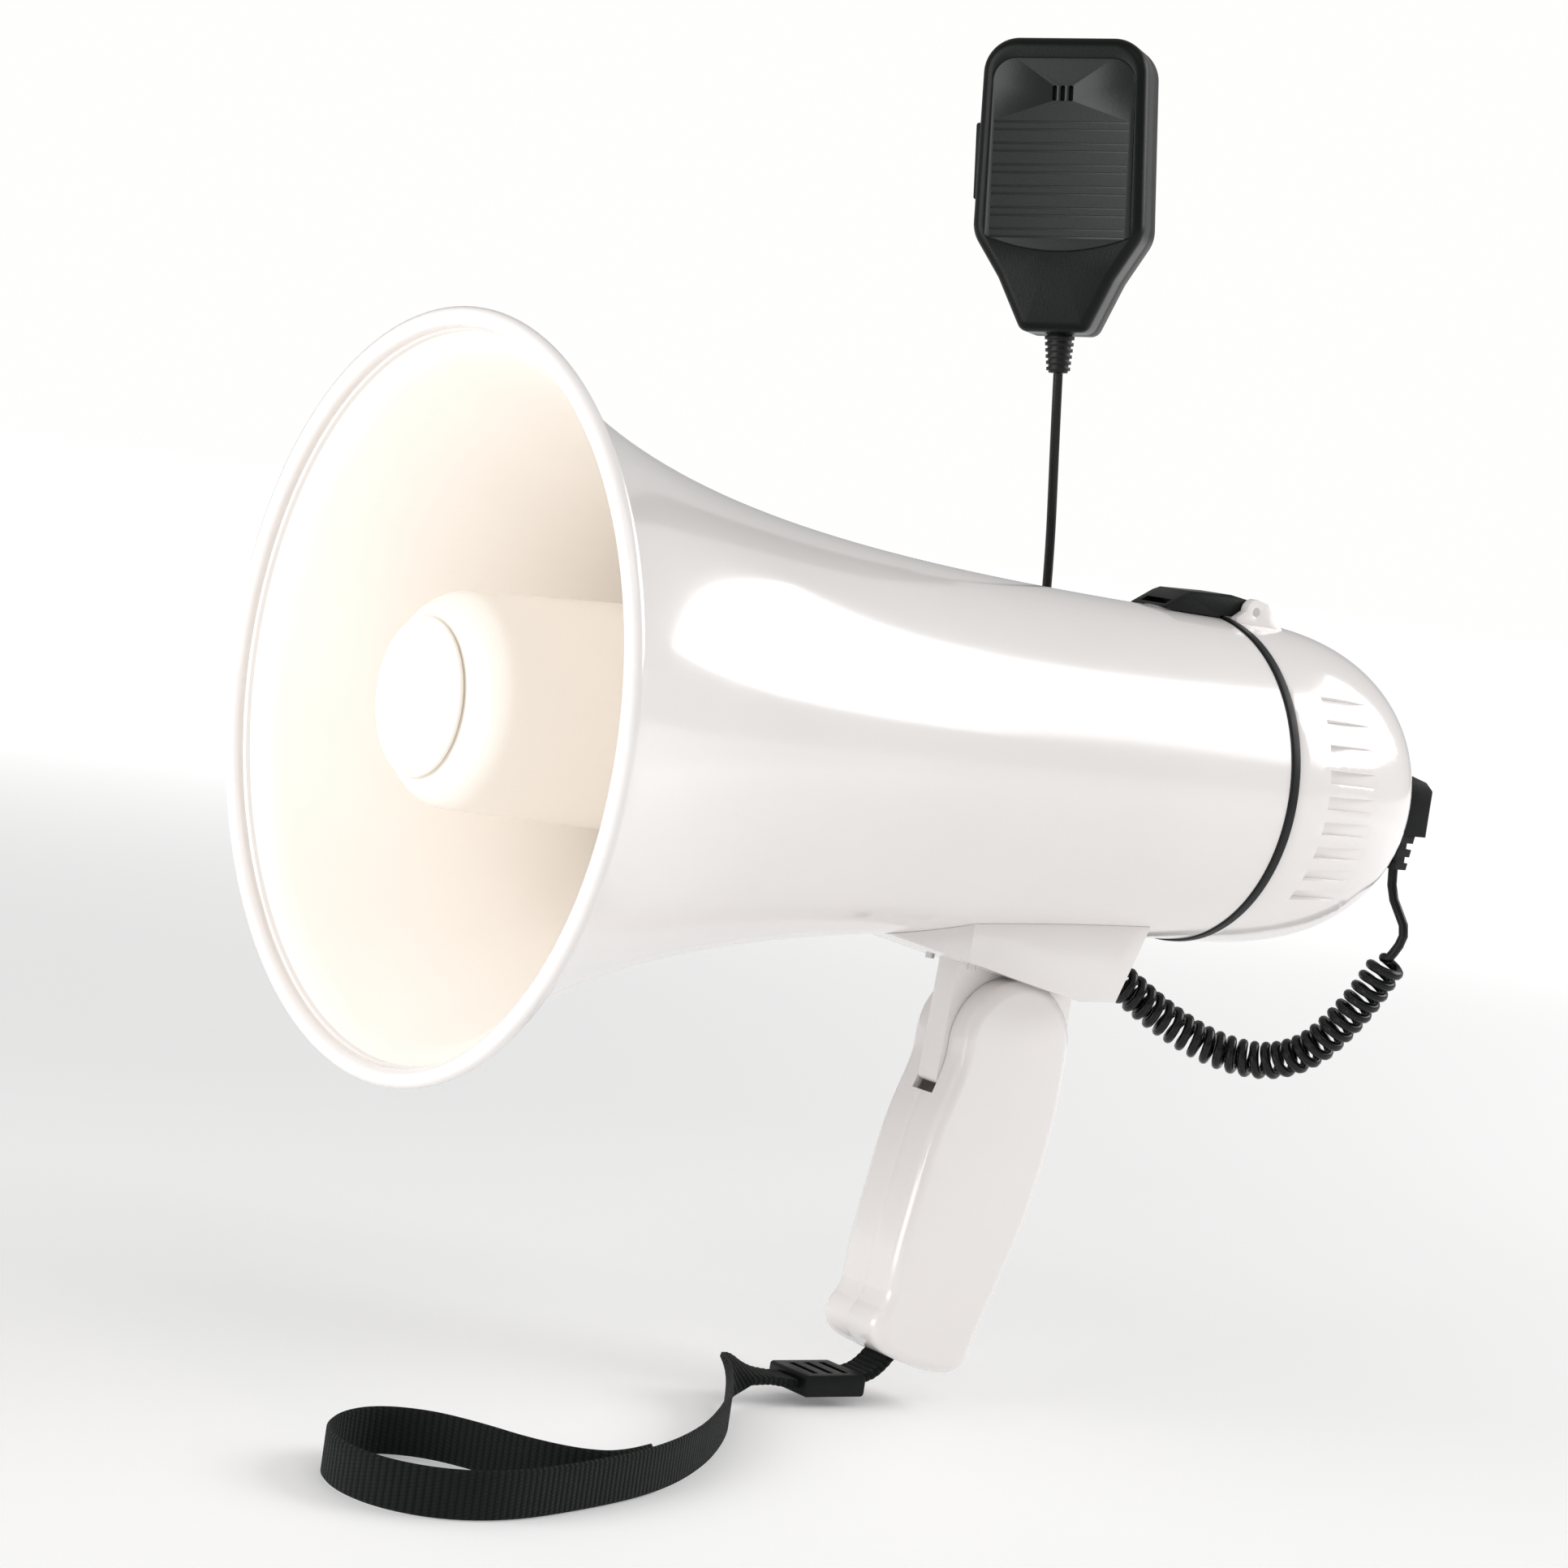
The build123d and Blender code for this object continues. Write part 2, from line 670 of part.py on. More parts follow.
# ==== Bracket under the horn ========================================================================
bracket_front_x = pivot_x - 70
bracket_rear_x = pivot_x + 37
bracket_low_x = pivot_x + 27
bracket_low_z = pivot_z + 19
saddle_front_u = bracket_front_x - mouth_x - 5
saddle_length = bracket_rear_x + 5 - mouth_x - saddle_front_u
saddle_stops = [saddle_front_u + saddle_length * share for share in (0, 0.2, 0.4, 0.6, 0.8, 1)]
with BuildPart() as handle_bracket:
    with BuildSketch(Plane.XZ.offset(-bracket_half)):
        with BuildLine():
            Polyline(
                (bracket_front_x, pivot_z + 60),
                (bracket_front_x, pivot_z + 37),
                (pivot_x - 38, pivot_z + 29.5),
                (bracket_low_x - 15, bracket_low_z - 0.5),
                (bracket_low_x, bracket_low_z),
                (bracket_rear_x, pivot_z + 44),
                (bracket_rear_x, pivot_z + 60),
                close=True,
            )
        make_face()
    extrude(amount=2 * bracket_half)
    low_edges = handle_bracket.edges().filter_by(Axis.Y).group_by(Axis.Z)[0]
    fillet(low_edges, radius=3.0)
    with BuildSketch(Plane.XY):
        with BuildLine():
            nose_arc = ThreePointArc(
                (bracket_front_x + 3, bracket_nose_half),
                (bracket_front_x, 0),
                (bracket_front_x + 3, -bracket_nose_half),
            )
            Polyline(
                nose_arc @ 1,
                (pivot_x - 36, -bracket_half),
                (bracket_rear_x + 1, -bracket_half),
                (bracket_rear_x + 1, bracket_half),
                (pivot_x - 36, bracket_half),
                nose_arc @ 0,
            )
        make_face()
    extrude(amount=axis_z, mode=Mode.INTERSECT)
    # Saddle face that lies against the horn
    with BuildSketch(horn_plane):
        with BuildLine():
            saddle = Spline(*[(u, flare_radius(u) + saddle_gap) for u in saddle_stops])
            Polyline(saddle @ 1, (saddle_stops[-1], 0), (saddle_front_u, 0), saddle @ 0)
        make_face()
    revolve(axis=horn_axis, mode=Mode.SUBTRACT)
    with BuildSketch(Plane.XY.offset(bracket_screw_z)):
        with Locations(*bracket_screw_spots):
            Circle(screw_radius)
    extrude(amount=-bracket_screw_length, mode=Mode.SUBTRACT)
    # Recess in which the round top of the grip turns
    with BuildSketch(Plane.XZ.offset(-grip_half - bracket_recess)):
        with Locations((pivot_x, pivot_z)):
            Circle(grip_top_radius + bracket_recess)
    extrude(amount=2 * (grip_half + bracket_recess), mode=Mode.SUBTRACT)
    # Tongue between the halves of the grip
    with BuildSketch(Plane.XZ.offset(-tongue_half)):
        with BuildLine():
            heel = tongue_reach - 1
            tip = ThreePointArc(
                (pivot_x - 24.5, pivot_z - 12.5),
                (pivot_x - 22.5, pivot_z - 14.5),
                (pivot_x - 19.5, pivot_z - 13.5),
            )
            Polyline(
                tip @ 1,
                (pivot_x - 12, pivot_z - 9.5),
                (pivot_x + 12, pivot_z - 9.5),
                (pivot_x + heel, pivot_z + 3),
                (pivot_x + heel, pivot_z + 24),
                (pivot_x - 22.5, pivot_z + 32),
                tip @ 0,
            )
        make_face()
        with Locations((pivot_x, pivot_z)):
            Circle(grip_pin_radius + running_gap, mode=Mode.SUBTRACT)
    extrude(amount=2 * tongue_half)
handle_bracket.part.label = "handle_bracket"
export_step(handle_bracket.part, "parts/handle_bracket.step")

with BuildPart() as bracket_screws:
    with BuildSketch(Plane.XY.offset(bracket_screw_z)):
        with Locations(*bracket_screw_spots):
            Circle(screw_head_radius)
    extrude(amount=screw_head_height)
    with BuildSketch(Plane.XY.offset(bracket_screw_z)):
        with Locations(*bracket_screw_spots):
            Circle(screw_radius)
    extrude(amount=-bracket_screw_length)
bracket_screws.part.label = "bracket_screws"
export_step(bracket_screws.part, "parts/bracket_screws.step")

# ==== Grip ==========================================================================================
grip_front = [(-12.6, 40.0), (-17.5, 25.0), (-23.0, 0.0), (-27.2, -32.0), (-29.5, -40.0)]
grip_lip = [(-32.2, -46.0), (-29.5, -52.0)]
grip_foot = [(-20.0, -56.8), (-7.0, -60.6), (0.5, -61.5)]
grip_rear = [(9.0, -55.5), (14.5, -39.0), (22.5, -17.0), (29.0, 10.0)]


def grip_outline(inset=0.0):
    """Closed side outline of the grip, or of the hollow inside it; drawn inside a line builder."""
    top_front = (pivot_x - grip_top_radius + inset, pivot_z)
    top_rear = (pivot_x + grip_top_radius - inset, pivot_z)
    front = Spline(top_front, *[(x + inset, z) for x, z in grip_front], tangents=[(0, -1), (-0.6, -1)])
    lip = ThreePointArc(front @ 1, *[(x + inset, z + inset * 0.6) for x, z in grip_lip])
    foot = Spline(lip @ 1, *[(x, z + inset) for x, z in grip_foot], tangents=[(1, -0.9), (1, -0.05)])
    rear = Spline(*[(x - inset, z + inset * 0.4) for x, z in grip_rear], top_rear, tangents=[(0.25, 1), (0, 1)])
    TangentArc(foot @ 1, rear @ 0, tangent=foot % 1)
    ThreePointArc(top_front, (pivot_x, pivot_z + grip_top_radius - inset), top_rear)


grip_screw_spots = [(-12, 12), (14, -26)]
for side, name in ((1, "grip_left"), (-1, "grip_right")):
    with BuildPart() as grip_shell:
        with BuildSketch(Plane.XZ):
            with BuildLine():
                grip_outline()
            make_face()
        extrude(amount=side * grip_half)
        flank = grip_shell.faces().filter_by(Axis.Y).sort_by(Axis.Y)[0 if side == 1 else -1]
        fillet(flank.edges(), radius=grip_edge)
        # Hollow inside
        with BuildSketch(Plane.XZ):
            with BuildLine():
                grip_outline(grip_wall)
            make_face()
        extrude(amount=side * (grip_half - grip_wall), mode=Mode.SUBTRACT)
        # Bosses for the pivot pin, the screws and the strap pin
        with BuildSketch(Plane.XZ.offset(side * slot_half)):
            with Locations((pivot_x, pivot_z)):
                Circle(grip_boss_radius)
        extrude(amount=side * (grip_half - slot_half - 1))
        with BuildSketch(Plane.XZ):
            with Locations(*grip_screw_spots):
                Circle(4)
            with Locations((anchor_x, anchor_z)):
                Circle(4)
        extrude(amount=side * (grip_half - 1))
        # Slot for the tongue
        with BuildSketch(Plane.XZ):
            with Locations((pivot_x, pivot_z)):
                Circle(slot_radius)
        extrude(amount=side * slot_half, mode=Mode.SUBTRACT)
        # Mouth of the strap
        with BuildSketch(Plane.XZ):
            with Locations((anchor_x - 3.5, anchor_z - 4)):
                Rectangle(12, 17)
        extrude(amount=side * (web_width / 2 + 0.8), mode=Mode.SUBTRACT)
        with BuildSketch(Plane.XZ):
            with Locations((pivot_x, pivot_z)):
                Circle(grip_pin_radius)
        extrude(amount=side * (grip_half - 3), mode=Mode.SUBTRACT)
        with BuildSketch(Plane.XZ):
            with Locations((anchor_x, anchor_z)):
                Circle(anchor_pin_radius)
        extrude(amount=side * (grip_half - 3), mode=Mode.SUBTRACT)
        with BuildSketch(Plane.XZ):
            with Locations(*grip_screw_spots):
                Circle(grip_screw_radius)
        extrude(amount=side * (grip_half - 3), mode=Mode.SUBTRACT)
    grip_shell.part.label = name
    export_step(grip_shell.part, f"parts/{name}.step")

with BuildPart() as grip_pin:
    with BuildSketch(Plane.XZ.offset(-(grip_half - 3))):
        with Locations((pivot_x, pivot_z)):
            Circle(grip_pin_radius)
    extrude(amount=2 * (grip_half - 3))
grip_pin.part.label = "grip_pin"
export_step(grip_pin.part, "parts/grip_pin.step")

with BuildPart() as grip_screws:
    with BuildSketch(Plane.XZ.offset(-(grip_half - 3.2))):
        with Locations(*grip_screw_spots):
            Circle(grip_screw_radius)
    extrude(amount=2 * (grip_half - 3.2))
grip_screws.part.label = "grip_screws"
export_step(grip_screws.part, "parts/grip_screws.step")

with BuildPart() as strap_pin:
    with BuildSketch(Plane.XZ.offset(-(grip_half - 3))):
        with Locations((anchor_x, anchor_z)):
            Circle(anchor_pin_radius)
    extrude(amount=2 * (grip_half - 3))
strap_pin.part.label = "strap_pin"
export_step(strap_pin.part, "parts/strap_pin.step")

# ==== Wrist strap ===================================================================================
lead_route = [(-15.0, -55.0), (-19.5, -61.5), (-28.0, -65.4), (-52.0, -66.6), (-66.0, -64.5), (-78.0, -60.5)]
with BuildPart() as strap_lead:
    with BuildSketch(Plane.XZ.offset(-web_width / 2)):
        with BuildLine():
            lead_path = FilletPolyline(*lead_route, radius=cord_radii(lead_route))
        trace(line_width=web_double)
    extrude(amount=web_width)
    with BuildSketch(Plane.XY.offset(buckle_z)):
        with Locations((buckle_x, 0)):
            Rectangle(buckle_length, web_width + 2)
    extrude(amount=buckle_height, both=True, mode=Mode.SUBTRACT)
strap_lead.part.label = "strap_lead"
export_step(strap_lead.part, "parts/strap_lead.step")

with BuildPart() as strap_buckle:
    with BuildSketch(Plane.XY.offset(buckle_z - buckle_height / 2)):
        with Locations((buckle_x, 0)):
            Rectangle(buckle_length, buckle_width)
    extrude(amount=buckle_height)
    fillet(strap_buckle.edges().filter_by(Axis.Y), radius=1.2)
    with BuildSketch(Plane.XY.offset(buckle_z + buckle_height / 2)):
        with GridLocations(6, 0, 3, 1):
            with Locations((buckle_x, 0)):
                Rectangle(2.4, web_width)
    extrude(amount=-2.2, mode=Mode.SUBTRACT)
strap_buckle.part.label = "strap_buckle"
export_step(strap_buckle.part, "parts/strap_buckle.step")

loop_route = [
    (-80.0, 1.0), (-86.0, -14.0), (-99.0, -34.0), (-116.0, -54.0), (-136.0, -74.0), (-158.0, -91.0),
    (-180.0, -103.0), (-204.0, -112.0), (-229.0, -119.0), (-249.0, -117.0), (-262.0, -106.0), (-267.0, -90.0),
    (-264.0, -72.0), (-252.0, -57.0), (-236.0, -50.0), (-221.0, -56.0), (-212.0, -71.0), (-204.0, -88.0),
    (-193.0, -101.5),
]
with BuildPart() as strap_loop:
    with BuildSketch(Plane.XY.offset(ground_z)):
        with BuildLine():
            loop_path = FilletPolyline(*loop_route, radius=cord_radii(loop_route))
        trace(line_width=web_thickness)
    extrude(amount=web_width)
strap_loop.part.label = "strap_loop"
export_step(strap_loop.part, "parts/strap_loop.step")

# ==== Control panel at the rear =====================================================================
panel_post_length = 26.0
post_spots = [(21, 4), (-15.5, 15.5), (15.5, -15.5), (-15.5, -15.5)]
button_ys = [(index - (button_count - 1) / 2) * button_pitch for index in range(button_count)]
with BuildPart() as control_panel:
    with BuildSketch(station(panel_back_u)):
        Circle(panel_radius)
    extrude(amount=panel_thickness)
    with BuildSketch(station(panel_back_u)):
        with Locations(*post_spots):
            Circle(2.2)
    extrude(amount=-panel_post_length)
    with BuildSketch(station(panel_back_u - 1)):
        with Locations((knob_y, knob_z)):
            Circle(shaft_radius + 0.3)
        with Locations(*[(y, button_z) for y in button_ys]):
            Circle(button_radius + running_gap)
        with Locations((switch_y, switch_z)):
            Rectangle(3.0 + switch_travel + 0.2, 2.8)
        with Locations((socket_y, socket_z)):
            Circle(socket_radius + running_gap)
        with Locations((charge_y, charge_z)):
            Circle(charge_bore + 1.2)
    extrude(amount=panel_thickness + 2, mode=Mode.SUBTRACT)
control_panel.part.label = "control_panel"
export_step(control_panel.part, "parts/control_panel.step")

with BuildPart() as volume_knob:
    with BuildSketch(station(panel_face_u + 0.6)):
        with Locations((knob_y, knob_z)):
            Circle(knob_radius)
    extrude(amount=knob_height, taper=3)
    fillet(volume_knob.edges().group_by(Axis.X)[-1], radius=1.0)
    with BuildSketch(station(panel_face_u + knob_height - 0.8)):
        with Locations((knob_y, knob_z + 5)):
            Rectangle(1.2, 4.5)
    extrude(amount=3, mode=Mode.SUBTRACT)
    with BuildSketch(station(panel_face_u + 0.6)):
        with Locations((knob_y, knob_z)):
            Circle(shaft_radius)
    extrude(amount=-panel_thickness - 4)
volume_knob.part.label = "volume_knob"
export_step(volume_knob.part, "parts/volume_knob.step")

with BuildPart() as potentiometer:
    with BuildSketch(station(panel_back_u - seat_gap)):
        with Locations((knob_y, knob_z)):
            Circle(7.0)
    extrude(amount=-7.5)
    with BuildSketch(station(panel_back_u)):
        with Locations((knob_y, knob_z)):
            Circle(shaft_radius + running_gap)
    extrude(amount=-4.6, mode=Mode.SUBTRACT)
potentiometer.part.label = "potentiometer"
export_step(potentiometer.part, "parts/potentiometer.step")

button_names = ("talk_button", "siren_button", "music_button")
for name, y in zip(button_names, button_ys):
    with BuildPart() as push_button:
        with BuildSketch(station(panel_face_u + button_proud)):
            with Locations((y, button_z)):
                Circle(button_radius)
        extrude(amount=-(button_proud + panel_thickness + 1.0))
        fillet(push_button.edges().group_by(Axis.X)[-1], radius=0.6)
        with BuildSketch(station(panel_back_u - 0.2)):
            with Locations((y, button_z)):
                Circle(button_radius + 1.0)
        extrude(amount=-button_flange)
    push_button.part.label = name
    export_step(push_button.part, f"parts/{name}.step")

with BuildPart() as button_board:
    with BuildSketch(station(panel_back_u - button_board_depth)):
        with Locations((0, button_z)):
            Rectangle(24, 9)
    extrude(amount=-board_thickness)
    with BuildSketch(station(panel_back_u - button_board_depth)):
        with Locations(*[(y, button_z) for y in button_ys]):
            Rectangle(5, 5)
    extrude(amount=button_board_depth - 0.2 - button_flange - button_travel - seat_gap)
button_board.part.label = "button_board"
export_step(button_board.part, "parts/button_board.step")

with BuildPart() as mode_switch:
    with BuildSketch(station(panel_back_u - 1.4)):
        with Locations((switch_y - switch_travel / 2, switch_z)):
            Rectangle(3.0, 2.4)
    extrude(amount=panel_thickness + 1.4 + 2.6)
    with BuildSketch(station(panel_back_u - 0.3)):
        with Locations((switch_y - switch_travel / 2, switch_z)):
            Rectangle(7.0, 5.0)
    extrude(amount=-1.1)
mode_switch.part.label = "mode_switch"
export_step(mode_switch.part, "parts/mode_switch.step")

with BuildPart() as mic_socket:
    with BuildSketch(station(panel_face_u + 1.2)):
        with Locations((socket_y, socket_z)):
            Circle(socket_radius)
    extrude(amount=-16)
    with BuildSketch(station(panel_face_u)):
        with Locations((socket_y, socket_z)):
            Circle(socket_radius + 1.8)
            Circle(socket_radius - 0.5, mode=Mode.SUBTRACT)
    extrude(amount=1.2)
    with BuildSketch(station(panel_face_u + 1.2)):
        with Locations((socket_y, socket_z)):
            Circle(socket_bore)
    extrude(amount=-14, mode=Mode.SUBTRACT)
mic_socket.part.label = "mic_socket"
export_step(mic_socket.part, "parts/mic_socket.step")

with BuildPart() as charge_socket:
    with BuildSketch(station(panel_face_u + 0.6)):
        with Locations((charge_y, charge_z)):
            Circle(charge_bore + 1.1)
            Circle(charge_bore, mode=Mode.SUBTRACT)
    extrude(amount=-charge_depth)
    with BuildSketch(station(panel_face_u + 0.6 - charge_depth)):
        with Locations((charge_y, charge_z)):
            Circle(charge_bore + 1.1)
    extrude(amount=-1.5)
charge_socket.part.label = "charge_socket"
export_step(charge_socket.part, "parts/charge_socket.step")

# ==== Amplifier =====================================================================================
board_u = panel_back_u - panel_post_length - seat_gap
with BuildPart() as amplifier_board:
    with BuildSketch(station(board_u)):
        Rectangle(56, 48)
        with Locations(*post_spots):
            Circle(screw_radius + 0.1, mode=Mode.SUBTRACT)
    extrude(amount=-board_thickness)
amplifier_board.part.label = "amplifier_board"
export_step(amplifier_board.part, "parts/amplifier_board.step")

with BuildPart() as heat_sink:
    with BuildSketch(station(board_u - board_thickness - seat_gap)):
        with Locations((0, 14)):
            Rectangle(20, 14)
    extrude(amount=-3)
    with BuildSketch(station(board_u - board_thickness - seat_gap)):
        with Locations((0, 14)):
            with GridLocations(3.4, 0, 6, 1):
                Rectangle(1.2, 14)
    extrude(amount=-13)
heat_sink.part.label = "heat_sink"
export_step(heat_sink.part, "parts/heat_sink.step")

with BuildPart() as capacitors:
    with BuildSketch(station(board_u - board_thickness - seat_gap)):
        with GridLocations(14, 12, 2, 2):
            with Locations((0, -10)):
                Circle(4)
    extrude(amount=-12)
capacitors.part.label = "capacitors"
export_step(capacitors.part, "parts/capacitors.step")

# ==== Plug and cord =================================================================================
plug_x = mouth_x + panel_face_u
plug_z = axis_z + socket_z
with BuildPart() as mic_plug:
    with BuildSketch(station(panel_face_u + 1.4)):
        with Locations((socket_y, socket_z)):
            Circle(4.6)
    extrude(amount=5.0)
    with BuildSketch(station(panel_face_u + 1.4)):
        with Locations((socket_y, socket_z)):
            Circle(socket_bore - 0.05)
    extrude(amount=-13)
    with BuildSketch(Plane.XZ.offset(-socket_y - 6.0)):
        with BuildLine():
            Polyline(
                (plug_x + 6.4, plug_z + 7.5),
                (plug_x + 9, plug_z + 9.0),
                (plug_x + 17, plug_z + 7.0),
                (plug_x + 21.5, plug_z + 3.5),
                (plug_x + 21.5, plug_z - plug_drop),
                (plug_x + 6.4, plug_z - plug_drop),
                close=True,
            )
        make_face()
    extrude(amount=12)
    fillet(mic_plug.edges().filter_by(Axis.Z), radius=1.5)
mic_plug.part.label = "mic_plug"
export_step(mic_plug.part, "parts/mic_plug.step")

relief_x = plug_x + 13.5
with BuildPart() as plug_strain_relief:
    with BuildSketch(Plane.XY.offset(plug_z - plug_drop - seat_gap)):
        with Locations((relief_x, socket_y)):
            RectangleRounded(9.0, 9.0, 1.5)
    with BuildSketch(Plane.XY.offset(plug_z - relief_drop)):
        with Locations((relief_x, socket_y)):
            RectangleRounded(7.0, 7.0, 1.5)
    loft()
    for drop in (14.6, 19.4):
        with BuildSketch(Plane.XY.offset(plug_z - drop)):
            with Locations((relief_x, socket_y)):
                Rectangle(20, 20)
                RectangleRounded(5.4, 5.4, 1.0, mode=Mode.SUBTRACT)
        extrude(amount=-2.2, mode=Mode.SUBTRACT)
plug_strain_relief.part.label = "plug_strain_relief"
export_step(plug_strain_relief.part, "parts/plug_strain_relief.step")

tail_route = [
    (relief_x, socket_y, plug_z - relief_drop), (relief_x, socket_y, plug_z - 33.0),
    (relief_x + 4.4, socket_y - 7.9, plug_z - 44.8), (relief_x + 1.9, socket_y - 4.0, plug_z - 55.0),
]
coil_route = [
    (84.0, 51.0, 74.0), (99.5, 45.0, 63.3), (116.2, 39.0, 52.0), (132.0, 29.0, 43.5), (145.0, 15.0, 41.5),
    (152.0, 1.0, 48.0), (156.8, -8.6, 60.5), (relief_x - 1.04, socket_y + 0.59, plug_z - 67.0), tail_route[-1],
]
lead_cord_route = [
    (45.2, 61.0, 268.2), (47.4, 60.8, 250.0), (51.0, 62.0, 231.0), (55.2, 64.0, 212.0), (58.9, 66.2, 192.0),
    (61.4, 67.2, 168.0), (62.4, 68.4, 144.0), (61.4, 68.6, 121.0), (62.6, 63.0, 99.0), (71.6, 55.8, 82.56),
    coil_route[0],
]

with BuildPart() as cord_lead:
    with BuildLine():
        lead_line = FilletPolyline(*lead_cord_route, radius=cord_radii(lead_cord_route))
    with BuildSketch(Plane(origin=lead_line @ 0, z_dir=lead_line % 0)):
        Circle(cord_diameter / 2)
    sweep(path=lead_line)
cord_lead.part.label = "cord_lead"
export_step(cord_lead.part, "parts/cord_lead.step")

with BuildPart() as cord_coil:
    with BuildLine():
        coil_line = FilletPolyline(*coil_route, radius=cord_radii(coil_route))
    with BuildSketch(Plane(origin=coil_line @ 0, z_dir=coil_line % 0)):
        Circle(coil_diameter / 2)
    sweep(path=coil_line)
cord_coil.part.label = "cord_coil"
export_step(cord_coil.part, "parts/cord_coil.step")

with BuildPart() as cord_tail:
    with BuildLine():
        tail_line = FilletPolyline(*tail_route, radius=cord_radii(tail_route))
    with BuildSketch(Plane(origin=tail_line @ 0, z_dir=tail_line % 0)):
        Circle(cord_diameter / 2)
    sweep(path=tail_line)
cord_tail.part.label = "cord_tail"
export_step(cord_tail.part, "parts/cord_tail.step")

# ==== Hand microphone ===============================================================================
turn = math.radians(mic_turn_deg)
lean = math.radians(mic_lean_deg)
mic_front = Vector(-math.sin(turn), -math.cos(turn), 0)
mic_right = Vector(math.cos(turn), -math.sin(turn), 0) * math.cos(lean) + Vector(0, 0, 1) * math.sin(lean)
mic_plane = Plane(origin=mic_centre, x_dir=mic_right, z_dir=mic_front)
mic_corners = [
    (-mic_half_top, mic_top), (mic_half_top, mic_top), (mic_half_width, mic_waist), (20.0, -31.0),
    (mic_half_neck, mic_bottom), (-mic_half_neck, mic_bottom), (-20.0, -31.0), (-mic_half_width, mic_waist),
]
mic_corner_radii = [mic_corner, mic_corner, 12.0, 14.0, 4.0, 4.0, 14.0, 12.0]
mic_screw_spots = [(19, 38), (-19, 38), (13, -26), (-13, -26)]


def mic_side(y):
    """Half width of the microphone at a height on its straight sides."""
    return mic_half_top + (mic_half_width - mic_half_top) * (mic_top - y) / (mic_top - mic_waist)


ptt_centre_y = 9.0
ptt_face_x = -mic_side(ptt_centre_y - ptt_length / 2) - ptt_proud
ptt_flange_x = -mic_side(ptt_centre_y + ptt_length / 2 + 1) + mic_wall + 2 * seat_gap
ptt_window_x = ptt_flange_x - 3.1
ptt_switch_x = ptt_flange_x + ptt_flange + ptt_travel + seat_gap
panel_edge_x = mic_half_top - panel_inset + 0.5
panel_top_y = mic_top - panel_inset - 3.0
capsule_y = 31.0
clip_pin_y = 26.0
clip_pin_z = -mic_back_depth - clip_gap - clip_thickness / 2
knuckle_radius = clip_pin_radius + 1.7


def clip_plane(x):
    """Plane square to the clip's pin, at a distance x along it."""
    return Plane(mic_plane.from_local_coords((x, clip_pin_y, clip_pin_z)), z_dir=mic_right)


def mic_panel_outline(grow):
    """Outline of the front panel, grown on all sides; drawn inside a line builder."""
    half = panel_edge_x + grow
    sides = FilletPolyline(
        (-half - 0.5, -17.0),
        (-half + 0.3, panel_top_y + grow),
        (half - 0.3, panel_top_y + grow),
        (half + 0.5, -17.0),
        radius=8.0,
    )
    ThreePointArc(sides @ 1, (0, -22.0 - grow), sides @ 0)


with BuildPart() as mic_front_shell:
    with BuildSketch(mic_plane):
        with BuildLine():
            FilletPolyline(*mic_corners, radius=mic_corner_radii, close=True)
        make_face()
    extrude(amount=mic_front_depth)
    front_face = mic_front_shell.faces().sort_by(Axis(mic_centre, mic_front))[-1]
    fillet(front_face.edges(), radius=3.5)
    with BuildSketch(mic_plane):
        with BuildLine():
            FilletPolyline(*mic_corners, radius=mic_corner_radii, close=True)
        make_face()
        offset(amount=-mic_wall, mode=Mode.REPLACE)
    extrude(amount=mic_front_depth - mic_wall, mode=Mode.SUBTRACT)
    with BuildSketch(mic_plane.offset(mic_front_depth)):
        with BuildLine():
            mic_panel_outline(seat_gap)
        make_face()
    extrude(amount=-mic_panel_thickness / 2, mode=Mode.SUBTRACT)
    with BuildSketch(mic_plane.offset(mic_front_depth)):
        with Locations((0, capsule_y)):
            Circle(4.0)
    extrude(amount=-mic_wall, mode=Mode.SUBTRACT)
    with BuildSketch(mic_plane):
        with Locations((ptt_window_x, ptt_centre_y)):
            Rectangle(10, ptt_length + 2 * running_gap)
    extrude(amount=ptt_width / 2 + running_gap, mode=Mode.SUBTRACT)
    with BuildSketch(mic_plane):
        with Locations(*mic_screw_spots):
            Circle(2.6)
            Circle(mic_screw_radius, mode=Mode.SUBTRACT)
    extrude(amount=mic_front_depth - mic_wall)
    with BuildSketch(mic_plane):
        with Locations((0, mic_bottom)):
            Rectangle(5.2, 8)
    extrude(amount=2.6, mode=Mode.SUBTRACT)
mic_front_shell.part.label = "mic_front_shell"
export_step(mic_front_shell.part, "parts/mic_front_shell.step")

